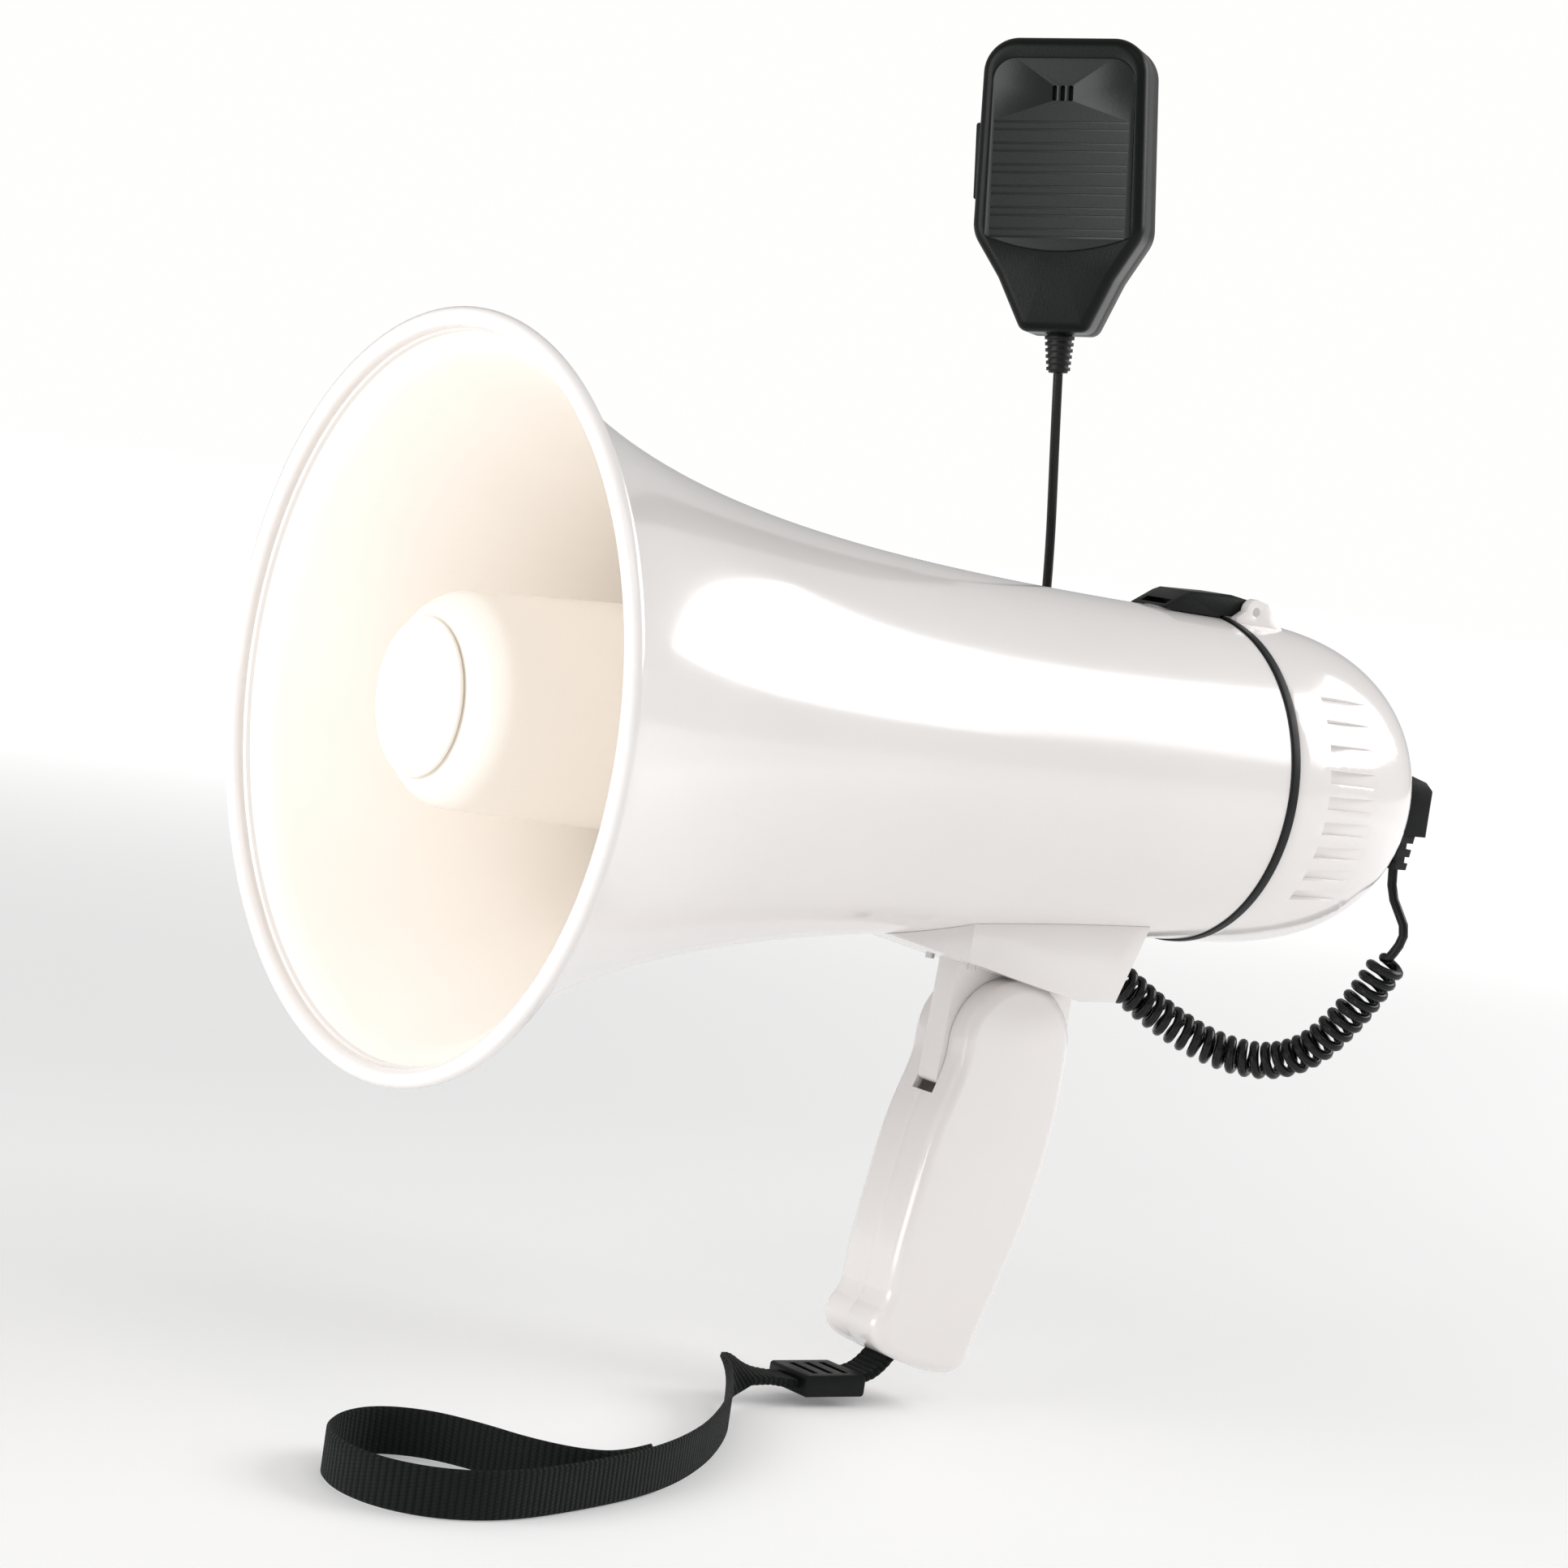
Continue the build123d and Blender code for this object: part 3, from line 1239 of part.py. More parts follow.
with BuildPart() as mic_back_shell:
    with BuildSketch(mic_plane.offset(-seat_gap)):
        with BuildLine():
            FilletPolyline(*mic_corners, radius=mic_corner_radii, close=True)
        make_face()
    extrude(amount=-mic_back_depth + seat_gap)
    back_face = mic_back_shell.faces().sort_by(Axis(mic_centre, mic_front))[0]
    fillet(back_face.edges(), radius=3.5)
    with BuildSketch(mic_plane.offset(-seat_gap)):
        with BuildLine():
            FilletPolyline(*mic_corners, radius=mic_corner_radii, close=True)
        make_face()
        offset(amount=-mic_wall, mode=Mode.REPLACE)
    extrude(amount=-mic_back_depth + seat_gap + mic_wall, mode=Mode.SUBTRACT)
    with BuildSketch(mic_plane.offset(-seat_gap)):
        with Locations((ptt_window_x, ptt_centre_y)):
            Rectangle(10, ptt_length + 2 * running_gap)
    extrude(amount=-ptt_width / 2 - running_gap + seat_gap, mode=Mode.SUBTRACT)
    with BuildSketch(mic_plane.offset(-seat_gap)):
        with Locations(*mic_screw_spots):
            Circle(3.6)
    extrude(amount=-mic_back_depth + seat_gap + mic_wall)
    with BuildSketch(mic_plane.offset(-mic_back_depth)):
        with Locations(*mic_screw_spots):
            Circle(screw_head_radius)
    extrude(amount=screw_head_height + 0.4, mode=Mode.SUBTRACT)
    with BuildSketch(mic_plane.offset(-mic_back_depth)):
        with Locations(*mic_screw_spots):
            Circle(screw_radius)
    extrude(amount=mic_back_depth, mode=Mode.SUBTRACT)
    with BuildSketch(mic_plane.offset(-seat_gap)):
        with Locations((0, mic_bottom)):
            Rectangle(5.2, 8)
    extrude(amount=-2.6 + seat_gap, mode=Mode.SUBTRACT)
    # Ears of the clip hinge
    with BuildSketch(mic_plane.offset(clip_pin_z - 2.6)):
        for side in (-1, 1):
            with Locations((side * (clip_width / 2 + 1.6), clip_pin_y)):
                Rectangle(2.6, 6.4)
    extrude(amount=-clip_pin_z + 2.6 - mic_back_depth + 0.5)
    with BuildSketch(clip_plane(-20)):
        Circle(clip_pin_radius)
    extrude(amount=40, mode=Mode.SUBTRACT)
mic_back_shell.part.label = "mic_back_shell"
export_step(mic_back_shell.part, "parts/mic_back_shell.step")

with BuildPart() as mic_front_panel:
    with BuildSketch(mic_plane.offset(mic_front_depth - mic_panel_thickness / 2)):
        with BuildLine():
            mic_panel_outline(0)
        make_face()
    extrude(amount=mic_panel_thickness)
    top_face = mic_front_panel.faces().sort_by(Axis(mic_centre, mic_front))[-1]
    chamfer(top_face.edges(), length=0.35)
    with BuildSketch(mic_plane.offset(mic_front_depth + mic_panel_thickness)):
        with Locations((0, capsule_y)):
            with GridLocations(2.8, 0, 3, 1):
                RectangleRounded(1.5, 5.2, 0.6)
    extrude(amount=-3 * mic_panel_thickness, mode=Mode.SUBTRACT)
    with BuildSketch(mic_plane.offset(mic_front_depth + mic_panel_thickness / 2)):
        with Locations((0, 2.0)):
            with GridLocations(0, 7.2, 1, 6):
                with GridLocations(0, 2.6, 1, 2):
                    Rectangle(2 * panel_edge_x - 3, 0.8)
    extrude(amount=-0.35, mode=Mode.SUBTRACT)
mic_front_panel.part.label = "mic_front_panel"
export_step(mic_front_panel.part, "parts/mic_front_panel.step")

with BuildPart() as mic_screws:
    with BuildSketch(mic_plane.offset(-mic_back_depth + 0.4)):
        with Locations(*mic_screw_spots):
            Circle(screw_head_radius - 0.1)
    extrude(amount=screw_head_height)
    with BuildSketch(mic_plane.offset(-mic_back_depth + 0.4)):
        with Locations(*mic_screw_spots):
            Circle(mic_screw_radius)
    extrude(amount=mic_back_depth + 6)
mic_screws.part.label = "mic_screws"
export_step(mic_screws.part, "parts/mic_screws.step")

with BuildPart() as mic_capsule:
    with BuildSketch(mic_plane.offset(mic_front_depth - mic_wall - seat_gap)):
        with Locations((0, capsule_y)):
            Circle(4.8)
    extrude(amount=-5)
mic_capsule.part.label = "mic_capsule"
export_step(mic_capsule.part, "parts/mic_capsule.step")

with BuildPart() as mic_board:
    with BuildSketch(mic_plane.offset(1.0)):
        with Locations((0, 8)):
            Rectangle(-2 * (ptt_switch_x + ptt_switch_length - board_overlap), 44)
    extrude(amount=board_thickness)
mic_board.part.label = "mic_board"
export_step(mic_board.part, "parts/mic_board.step")

with BuildPart() as ptt_switch:
    with BuildSketch(mic_plane.offset(-3.0)):
        with Locations((ptt_switch_x, ptt_centre_y)):
            Rectangle(ptt_switch_length, 9, align=(Align.MIN, Align.CENTER))
    extrude(amount=4.0 - seat_gap)
ptt_switch.part.label = "ptt_switch"
export_step(ptt_switch.part, "parts/ptt_switch.step")

with BuildPart() as ptt_button:
    with BuildSketch(mic_plane.offset(-ptt_width / 2)):
        with Locations((ptt_face_x, ptt_centre_y)):
            Rectangle(ptt_flange_x - ptt_face_x, ptt_length, align=(Align.MIN, Align.CENTER))
    extrude(amount=ptt_width)
    outer_face = ptt_button.faces().sort_by(Axis(mic_centre, mic_right))[0]
    fillet(outer_face.edges(), radius=1.0)
    with BuildSketch(mic_plane.offset(-ptt_width / 2 - 1)):
        with Locations((ptt_flange_x, ptt_centre_y)):
            Rectangle(ptt_flange, ptt_length + 2, align=(Align.MIN, Align.CENTER))
    extrude(amount=ptt_width + 2)
ptt_button.part.label = "ptt_button"
export_step(ptt_button.part, "parts/ptt_button.step")

with BuildPart() as mic_clip:
    with BuildSketch(mic_plane.offset(clip_pin_z - clip_thickness / 2)):
        with Locations((0, clip_pin_y + 7)):
            Rectangle(clip_width, clip_length, align=(Align.CENTER, Align.MAX))
    extrude(amount=clip_thickness)
    clip_ends = mic_clip.edges().filter_by(Axis(mic_centre, mic_front))
    fillet(clip_ends, radius=4)
    with BuildSketch(mic_plane.offset(clip_pin_z)):
        with Locations((0, clip_pin_y + 7 - clip_length + 2)):
            Rectangle(clip_width - 6, 3)
    extrude(amount=clip_gap - 0.6)
    with BuildSketch(clip_plane(-clip_width / 2)):
        Circle(knuckle_radius)
    extrude(amount=clip_width)
    with BuildSketch(clip_plane(-4.6)):
        Circle(knuckle_radius + 0.3)
    extrude(amount=9.2, mode=Mode.SUBTRACT)
    with BuildSketch(clip_plane(-20)):
        Circle(clip_pin_radius + running_gap)
    extrude(amount=40, mode=Mode.SUBTRACT)
mic_clip.part.label = "mic_clip"
export_step(mic_clip.part, "parts/mic_clip.step")

with BuildPart() as clip_pin:
    pin_half = clip_width / 2 + 2.9
    with BuildSketch(clip_plane(-pin_half)):
        Circle(clip_pin_radius)
    extrude(amount=2 * pin_half)
clip_pin.part.label = "clip_pin"
export_step(clip_pin.part, "parts/clip_pin.step")

with BuildPart() as clip_spring:
    with BuildSketch(clip_plane(-4.2)):
        Circle(knuckle_radius - 0.4)
        Circle(clip_pin_radius + 0.2, mode=Mode.SUBTRACT)
    extrude(amount=8.4)
clip_spring.part.label = "clip_spring"
export_step(clip_spring.part, "parts/clip_spring.step")

relief_plane = Plane(origin=mic_plane.from_local_coords((0, mic_bottom + 3, 0)), z_dir=-mic_plane.y_dir)
with BuildPart() as mic_strain_relief:
    with BuildSketch(relief_plane):
        Circle(2.5)
    extrude(amount=3 + relief_length)
    with BuildSketch(relief_plane.offset(3 + seat_gap)):
        Circle(4.4)
    extrude(amount=relief_length - seat_gap, taper=5)
    for index in range(6):
        with BuildSketch(relief_plane.offset(3.6 + index * 2.1)):
            Circle(5.1 - index * 0.2)
        extrude(amount=1.1)
mic_strain_relief.part.label = "mic_strain_relief"
export_step(mic_strain_relief.part, "parts/mic_strain_relief.step")

# ---- Cord and strap report -------------------------------------------------------------------------
for name, line, route in (
    ("cord_lead", lead_line, lead_cord_route),
    ("cord_coil", coil_line, coil_route),
    ("cord_tail", tail_line, tail_route),
):
    radii = ", ".join(f"{radius:.1f}" for radius in cord_radii(route))
    print(f"{name}: length {line.length:.1f}, arc radii {radii}")
for name, line, route in (
    ("strap_lead", lead_path, lead_route),
    ("strap_loop", loop_path, loop_route),
):
    radii = ", ".join(f"{radius:.1f}" for radius in cord_radii(route))
    print(f"{name}: length {line.length:.1f}, arc radii {radii}")
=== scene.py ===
"""Handheld megaphone with a coiled cord and a hand microphone, dressed over its engineered frame.

Lengths are in metres: +X runs to the rear cover, +Z up, and the origin lies in the palm of the grip.
"""

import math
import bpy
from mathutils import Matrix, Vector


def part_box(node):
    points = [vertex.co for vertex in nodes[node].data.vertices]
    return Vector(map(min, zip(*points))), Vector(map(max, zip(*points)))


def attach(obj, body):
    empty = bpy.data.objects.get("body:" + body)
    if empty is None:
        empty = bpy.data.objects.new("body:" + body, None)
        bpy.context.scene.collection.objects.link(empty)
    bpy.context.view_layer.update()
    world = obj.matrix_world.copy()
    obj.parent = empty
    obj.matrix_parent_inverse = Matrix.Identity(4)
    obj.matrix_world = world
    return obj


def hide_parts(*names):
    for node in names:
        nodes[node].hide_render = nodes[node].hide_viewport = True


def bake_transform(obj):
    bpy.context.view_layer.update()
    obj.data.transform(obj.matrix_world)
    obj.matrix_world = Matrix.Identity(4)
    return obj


bl_info = {
    "name": "Handheld Megaphone",
    "version": (1, 0, 0),
    "blender": (4, 5, 0),
    "location": "View3D > Sidebar > Megaphone",
    "description": "Builds the shells, controls, cord and strap of a handheld megaphone on its frame",
    "category": "Object",
}

import bmesh
import bpy
from bpy.props import FloatProperty, FloatVectorProperty, IntProperty, PointerProperty
from mathutils import Matrix, Vector

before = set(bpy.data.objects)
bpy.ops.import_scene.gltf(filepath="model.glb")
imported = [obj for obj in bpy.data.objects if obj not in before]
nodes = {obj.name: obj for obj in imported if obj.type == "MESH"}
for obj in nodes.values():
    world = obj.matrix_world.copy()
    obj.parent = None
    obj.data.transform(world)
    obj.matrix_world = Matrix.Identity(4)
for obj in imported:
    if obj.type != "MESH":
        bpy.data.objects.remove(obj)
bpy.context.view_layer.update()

horn_low, horn_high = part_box("horn_bell")
grip_low, grip_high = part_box("grip_left")
loop_low, loop_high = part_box("strap_loop")
AXIS_Z = (horn_low.z + horn_high.z) / 2
SEAM_X = horn_high.x
GROUND_Z = loop_low.z
BODY = "megaphone"

# The cord's route, from the microphone down behind the body, round below it and up to the plug
LEAD_ROUTE = [
    (0.0452, 0.0610, 0.2682), (0.0474, 0.0608, 0.2500), (0.0510, 0.0620, 0.2310), (0.0552, 0.0640, 0.2120),
    (0.0589, 0.0662, 0.1920), (0.0614, 0.0672, 0.1680), (0.0624, 0.0684, 0.1440), (0.0614, 0.0686, 0.1210),
    (0.0626, 0.0630, 0.0990), (0.0716, 0.0558, 0.08256), (0.0840, 0.0510, 0.0740),
]
COIL_ROUTE = [
    (0.0840, 0.0510, 0.0740), (0.0995, 0.0450, 0.0633), (0.1162, 0.0390, 0.0520), (0.1320, 0.0290, 0.0435),
    (0.1450, 0.0150, 0.0415), (0.1520, 0.0010, 0.0480), (0.1568, -0.0086, 0.0605),
    (0.16046, -0.01641, 0.0740), (0.1634, -0.0210, 0.0860),
]
TAIL_ROUTE = [
    (0.1634, -0.0210, 0.0860), (0.1659, -0.0249, 0.0962), (0.1615, -0.0170, 0.1080), (0.1615, -0.0170, 0.1170),
]
# The strap's doubled lead lies flat, then turns on edge for the loop on the ground
STRAP_LEAD_ROUTE = [
    (-0.0150, 0.0, -0.0550), (-0.0195, 0.0, -0.0615), (-0.0280, 0.0, -0.0654), (-0.0520, 0.0, -0.0666),
    (-0.0660, 0.0, -0.0645), (-0.0775, -0.002, -0.0615),
]
STRAP_LOOP_ROUTE = [
    (-0.086, -0.014), (-0.099, -0.034), (-0.116, -0.054), (-0.136, -0.074), (-0.158, -0.091),
    (-0.180, -0.103), (-0.204, -0.112), (-0.229, -0.119), (-0.249, -0.117), (-0.262, -0.106),
    (-0.267, -0.090), (-0.264, -0.072), (-0.252, -0.057), (-0.236, -0.050), (-0.221, -0.056),
    (-0.212, -0.071), (-0.206, -0.087), (-0.196, -0.0995), (-0.184, -0.1022), (-0.170, -0.0950),
]


# ---- Sizes and colours a user would change -----------------------------------------------------------
class MegaphoneHornSizes(bpy.types.PropertyGroup):
    """Shape of the flared horn and its reflector"""

    body_radius: FloatProperty(
        name="Body radius", description="Radius that the flare runs out to", default=0.0535,
        unit="LENGTH", subtype="DISTANCE",
    )
    flare_length: FloatProperty(
        name="Flare length", description="Distance in which the flare falls to a third", default=0.079,
        unit="LENGTH", subtype="DISTANCE",
    )
    wall: FloatProperty(
        name="Wall", description="Thickness of the moulded wall", default=0.0025,
        unit="LENGTH", subtype="DISTANCE",
    )
    bead: FloatProperty(
        name="Rim bead", description="Radius of the rolled rim", default=0.003,
        unit="LENGTH", subtype="DISTANCE",
    )
    segments: IntProperty(name="Segments", description="Facets round the horn", default=144, min=24)


class MegaphoneCordSizes(bpy.types.PropertyGroup):
    """The microphone's cord"""

    wire: FloatProperty(
        name="Wire", description="Diameter of the jacket", default=0.0034, unit="LENGTH", subtype="DISTANCE",
    )
    coil: FloatProperty(
        name="Coil", description="Outer diameter of the coiled stretch", default=0.0136,
        unit="LENGTH", subtype="DISTANCE",
    )
    turns: IntProperty(name="Turns", description="Turns of the coiled stretch", default=31, min=3)
    length: FloatProperty(
        name="Length", description="Length of the cord laid straight", default=1.21,
        unit="LENGTH", subtype="DISTANCE",
    )


class MegaphoneStrapSizes(bpy.types.PropertyGroup):
    """The wrist strap"""

    width: FloatProperty(
        name="Width", description="Width of the webbing", default=0.014, unit="LENGTH", subtype="DISTANCE",
    )
    thickness: FloatProperty(
        name="Thickness", description="Thickness of one layer", default=0.0015,
        unit="LENGTH", subtype="DISTANCE",
    )
    rib: FloatProperty(
        name="Rib", description="Distance between the cross ribs", default=0.0022,
        unit="LENGTH", subtype="DISTANCE",
    )
    length: FloatProperty(
        name="Length", description="Length from the grip to the end of the loop", default=0.455,
        unit="LENGTH", subtype="DISTANCE",
    )
    twist_start: FloatProperty(
        name="Twist start", description="Length from the grip to where the band turns on edge",
        default=0.050, unit="LENGTH", subtype="DISTANCE",
    )
    twist_length: FloatProperty(
        name="Twist length", description="Length in which the band turns on edge", default=0.034,
        unit="LENGTH", subtype="DISTANCE",
    )


class MegaphoneColors(bpy.types.PropertyGroup):
    """Colours of the finishes"""

    shell: FloatVectorProperty(
        name="Shell", description="White of the outer shells", default=(0.88, 0.845, 0.83),
        size=3, min=0.0, max=1.0, subtype="COLOR",
    )
    # The horn's inside is moulded in the same white as its outside; this lighter, warmer cream on it is painted
    # warm light inside the lit bell. The reflector and the inner parts take the same cream.
    lining: FloatVectorProperty(
        name="Lining", description="Cream of the inside of the horn", default=(0.95, 0.895, 0.83),
        size=3, min=0.0, max=1.0, subtype="COLOR",
    )
    black: FloatVectorProperty(
        name="Black", description="Black of the moulded small pieces", default=(0.0035, 0.0045, 0.0042),
        size=3, min=0.0, max=1.0, subtype="COLOR",
    )
    jacket: FloatVectorProperty(
        name="Jacket", description="Black of the cord and the gasket", default=(0.0030, 0.0036, 0.0036),
        size=3, min=0.0, max=1.0, subtype="COLOR",
    )
    webbing: FloatVectorProperty(
        name="Webbing", description="Black of the strap", default=(0.0045, 0.0055, 0.0055),
        size=3, min=0.0, max=1.0, subtype="COLOR",
    )
    button: FloatVectorProperty(
        name="Buttons", description="Red of the push buttons", default=(0.38, 0.03, 0.02),
        size=3, min=0.0, max=1.0, subtype="COLOR",
    )


class MegaphoneStageSettings(bpy.types.PropertyGroup):
    """Camera, floor and light"""

    eye: FloatVectorProperty(
        name="Eye", description="Place of the camera", default=(-0.8470, -1.0434, 0.2148), size=3,
        unit="LENGTH", subtype="XYZ",
    )
    heading: FloatProperty(
        name="Heading", description="Turn of the view from +Y towards +X", default=math.radians(36.02),
        unit="ROTATION", subtype="ANGLE",
    )
    dip: FloatProperty(
        name="Dip", description="Angle that the view looks down", default=math.radians(4.0),
        unit="ROTATION", subtype="ANGLE",
    )
    roll: FloatProperty(
        name="Roll", description="Turn of the picture about the view", default=math.radians(8.349),
        unit="ROTATION", subtype="ANGLE",
    )
    lens: FloatProperty(
        name="Lens", description="Focal length on a 36 mm sensor", default=94.95, subtype="DISTANCE_CAMERA",
    )
    floor: FloatVectorProperty(
        name="Floor", description="Colour of the floor", default=(0.88, 0.88, 0.88), size=3,
        min=0.0, max=1.0, subtype="COLOR",
    )
    key_power: FloatProperty(
        name="Side light", description="Power of the long soft light beside the body", default=17.0, unit="POWER",
    )
    sky: FloatProperty(name="Sky", description="Strength of the surrounding light", default=0.42)
    glow: FloatProperty(
        name="Floor glow", description="Light that the lit floor gives off by itself", default=0.14, min=0.0,
    )


GROUPS = {
    "megaphone_horn": MegaphoneHornSizes,
    "megaphone_cord": MegaphoneCordSizes,
    "megaphone_strap": MegaphoneStrapSizes,
    "megaphone_colors": MegaphoneColors,
    "megaphone_stage": MegaphoneStageSettings,
}


# ---- Shader maths --------------------------------------------------------------------------------------
class Shade:
    """A socket of a material. Arithmetic on it adds Math nodes, and node() adds any other node."""

    def __init__(self, tree, socket=None):
        self.tree = tree
        self.socket = socket

    def node(self, kind, settings, sockets, output=0):
        """A new node with its settings, then the values or links of its sockets; returns one output."""
        made = self.tree.nodes.new(kind)
        for name, value in settings.items():
            if name == "stops":
                ramp = made.color_ramp
                for element, (place, level) in zip(ramp.elements, value):
                    element.position = place
                    element.color = (level, level, level, 1.0)
            else:
                setattr(made, name, value)
        for name, value in sockets.items():
            if isinstance(value, Shade):
                self.tree.links.new(value.socket, made.inputs[name])
            else:
                made.inputs[name].default_value = value
        return Shade(self.tree, made.outputs[output])

    def maths(self, operation, first, second=0.0):
        return self.node("ShaderNodeMath", {"operation": operation}, {0: first, 1: second})

    def __add__(self, other):
        return self.maths("ADD", self, other)

    def __sub__(self, other):
        return self.maths("SUBTRACT", self, other)

    def __rsub__(self, other):
        return self.maths("SUBTRACT", other, self)

    def __mul__(self, other):
        return self.maths("MULTIPLY", self, other)

    def __truediv__(self, other):
        return self.maths("DIVIDE", self, other)

    def __pow__(self, other):
        return self.maths("POWER", self, other)

    __radd__ = __add__
    __rmul__ = __mul__

    def place(self):
        """Object coordinates."""
        return self.node("ShaderNodeTexCoord", {}, {}, "Object")

    def axis(self, letter):
        """One of the X, Y and Z of object coordinates."""
        return self.node("ShaderNodeSeparateXYZ", {}, {"Vector": self.place()}, letter)

    def attribute(self, name):
        """A number stored on the mesh."""
        return self.node("ShaderNodeAttribute", {"attribute_name": name}, {}, "Fac")

    def noise(self, scale, detail=3.0, roughness=0.5):
        """Noise from 0 to 1, with that many features to a metre."""
        sockets = {"Vector": self.place(), "Scale": scale, "Detail": detail, "Roughness": roughness}
        return self.node("ShaderNodeTexNoise", {}, sockets, "Fac")

    def cells(self, scale, feature="F1"):
        """Distance to the nearest of scattered points."""
        sockets = {"Vector": self.place(), "Scale": scale}
        return self.node("ShaderNodeTexVoronoi", {"feature": feature}, sockets, "Distance")

    def ramp(self, low, high):
        """0 below low, 1 above high."""
        return self.node("ShaderNodeValToRGB", {"stops": [(low, 0.0), (high, 1.0)]}, {"Fac": self}, "Color")

    def mix(self, first, second):
        """Between two colours, by this value."""
        sockets = {"Factor": self, 6: first, 7: second}
        return self.node("ShaderNodeMix", {"data_type": "RGBA"}, sockets, 2)

    def bump(self, strength, distance):
        """A normal from this height."""
        sockets = {"Height": self, "Strength": strength, "Distance": distance}
        return self.node("ShaderNodeBump", {}, sockets, "Normal")


def tone(color, factor):
    """A colour made lighter or darker, with its alpha."""
    return (*(min(1.0, channel * factor) for channel in color[:3]), 1.0)


def surface(name, **constants):
    """A new material, the start of its shading and its shader, with sockets that stay the same all over."""
    material = bpy.data.materials.new(name)
    material.use_nodes = True
    shader = material.node_tree.nodes["Principled BSDF"]
    for socket, value in constants.items():
        shader.inputs[socket.replace("_", " ").title().replace("Ior", "IOR")].default_value = value
    return material, Shade(material.node_tree), shader


def feed(shader, **sockets):
    """Links varying values to the shader's sockets."""
    for name, value in sockets.items():
        tree = shader.id_data
        tree.links.new(value.socket, shader.inputs[name.replace("_", " ").title()])


def moulded(name, color, roughness, texture=0.0, gloss=0.3, age=0.03, shine=0.5):
    """Injection-moulded plastic: faint flow marks, dust in the pores, and a fine or coarse skin."""
    material, start, shader = surface(name, coat_weight=gloss, coat_roughness=0.08, specular_ior_level=shine)
    flow = start.noise(9.0, 4.0).ramp(0.3, 0.7)
    dust = start.noise(1400.0, 2.0).ramp(0.66, 0.78)
    tint = flow.mix(tone(color, 1.0 - age), tone(color, 1.0 + age))
    feed(shader, base_color=(dust * 0.35).mix(tint, tone(color, 0.86)))
    wipe = start.noise(55.0, 5.0, 0.6)
    feed(shader, roughness=(wipe - 0.5) * 0.10 + roughness + dust * 0.06)
    if texture:
        skin = start.cells(1500.0) * 0.6 + start.noise(3200.0, 2.0) * 0.4
        feed(shader, normal=skin.bump(texture, 0.00012))
    else:
        skin = start.noise(420.0, 2.0) * 0.7 + start.noise(2400.0, 1.0) * 0.3
        feed(shader, normal=skin.bump(0.05, 0.0002))
    return material


def rubber(name, color, roughness, sheen=0.0):
    """Soft black rubber or cord jacket, with a little bloom and fine pores."""
    material, start, shader = surface(name, sheen_weight=sheen, specular_ior_level=0.3)
    bloom = start.noise(130.0, 4.0, 0.65).ramp(0.45, 0.8)
    feed(shader, base_color=(bloom * 0.5).mix(tone(color, 1.0), tone(color, 2.2)))
    feed(shader, roughness=bloom * 0.12 + roughness)
    feed(shader, normal=start.noise(2600.0, 2.0).bump(0.06, 0.0002))
    return material


def woven(name, color, rib):
    """Webbing: cross ribs of twisted yarn, each row shifted against the last, with worn fuzz; the grooves between
    the ribs are painted shade and the rib tops a painted highlight.
    """
    material, start, shader = surface(name, sheen_weight=0.05, sheen_roughness=0.5, specular_ior_level=0.15)
    along = start.attribute("along")
    across = start.attribute("across")
    row = (along * (math.pi / rib)).maths("SINE", along * (math.pi / rib))
    row = row.maths("ABSOLUTE", row)
    yarn = across * (2 * math.pi / 0.0011) + along * (math.pi / rib)
    yarn = yarn.maths("SINE", yarn) * 0.5 + 0.5
    height = row * 0.6 + yarn * row * 0.4
    fuzz = start.noise(5200.0, 3.0, 0.7)
    fade = start.noise(70.0, 3.0).ramp(0.35, 0.75)
    # Painted shade and highlight: the colour darkens down in the grooves between the ribs and lightens on their
    # tops, with the yarn's fuzz mixed in
    rib_shade_and_fuzz = (height * 0.7 + fuzz * 0.3).mix(tone(color, 0.45), tone(color, 2.1))
    feed(shader, base_color=(fade * 0.3).mix(rib_shade_and_fuzz, tone(color, 2.6)))
    feed(shader, roughness=1.0 - height * 0.3)
    feed(shader, normal=(height + fuzz * 0.35).bump(0.8, 0.00035))
    return material


def metal(name, color, roughness, grain=600.0):
    """Plated or drawn metal with fine scratches."""
    material, start, shader = surface(name, metallic=1.0)
    stretched = start.node(
        "ShaderNodeMapping", {}, {"Vector": start.place(), "Scale": (0.12, 1.0, 1.0)}
    )
    sockets = {"Vector": stretched, "Scale": grain, "Detail": 3.0}
    lines = start.node("ShaderNodeTexNoise", {}, sockets, "Fac")
    tarnish = start.noise(60.0, 3.0).ramp(0.4, 0.8)
    feed(shader, base_color=(tarnish * 0.4).mix(tone(color, 1.0), tone(color, 0.7)))
    feed(shader, roughness=lines * 0.2 + roughness)
    feed(shader, normal=lines.bump(0.08, 0.0001))
    return material


def board(name):
    """Circuit board: green resist over copper tracks, with pads."""
    material, start, shader = surface(name, ior=1.5, coat_weight=0.4)
    tracks = start.cells(160.0, "DISTANCE_TO_EDGE").ramp(0.03, 0.05)
    pads = start.cells(260.0).ramp(0.16, 0.2)
    copper = tracks.mix((0.05, 0.20, 0.09, 1.0), (0.02, 0.10, 0.045, 1.0))
    feed(shader, base_color=pads.mix((0.55, 0.5, 0.42, 1.0), copper))
    feed(shader, roughness=pads * 0.1 + 0.3)
    feed(shader, normal=(tracks * 0.5 + pads * 0.5).bump(0.3, 0.0001))
    return material


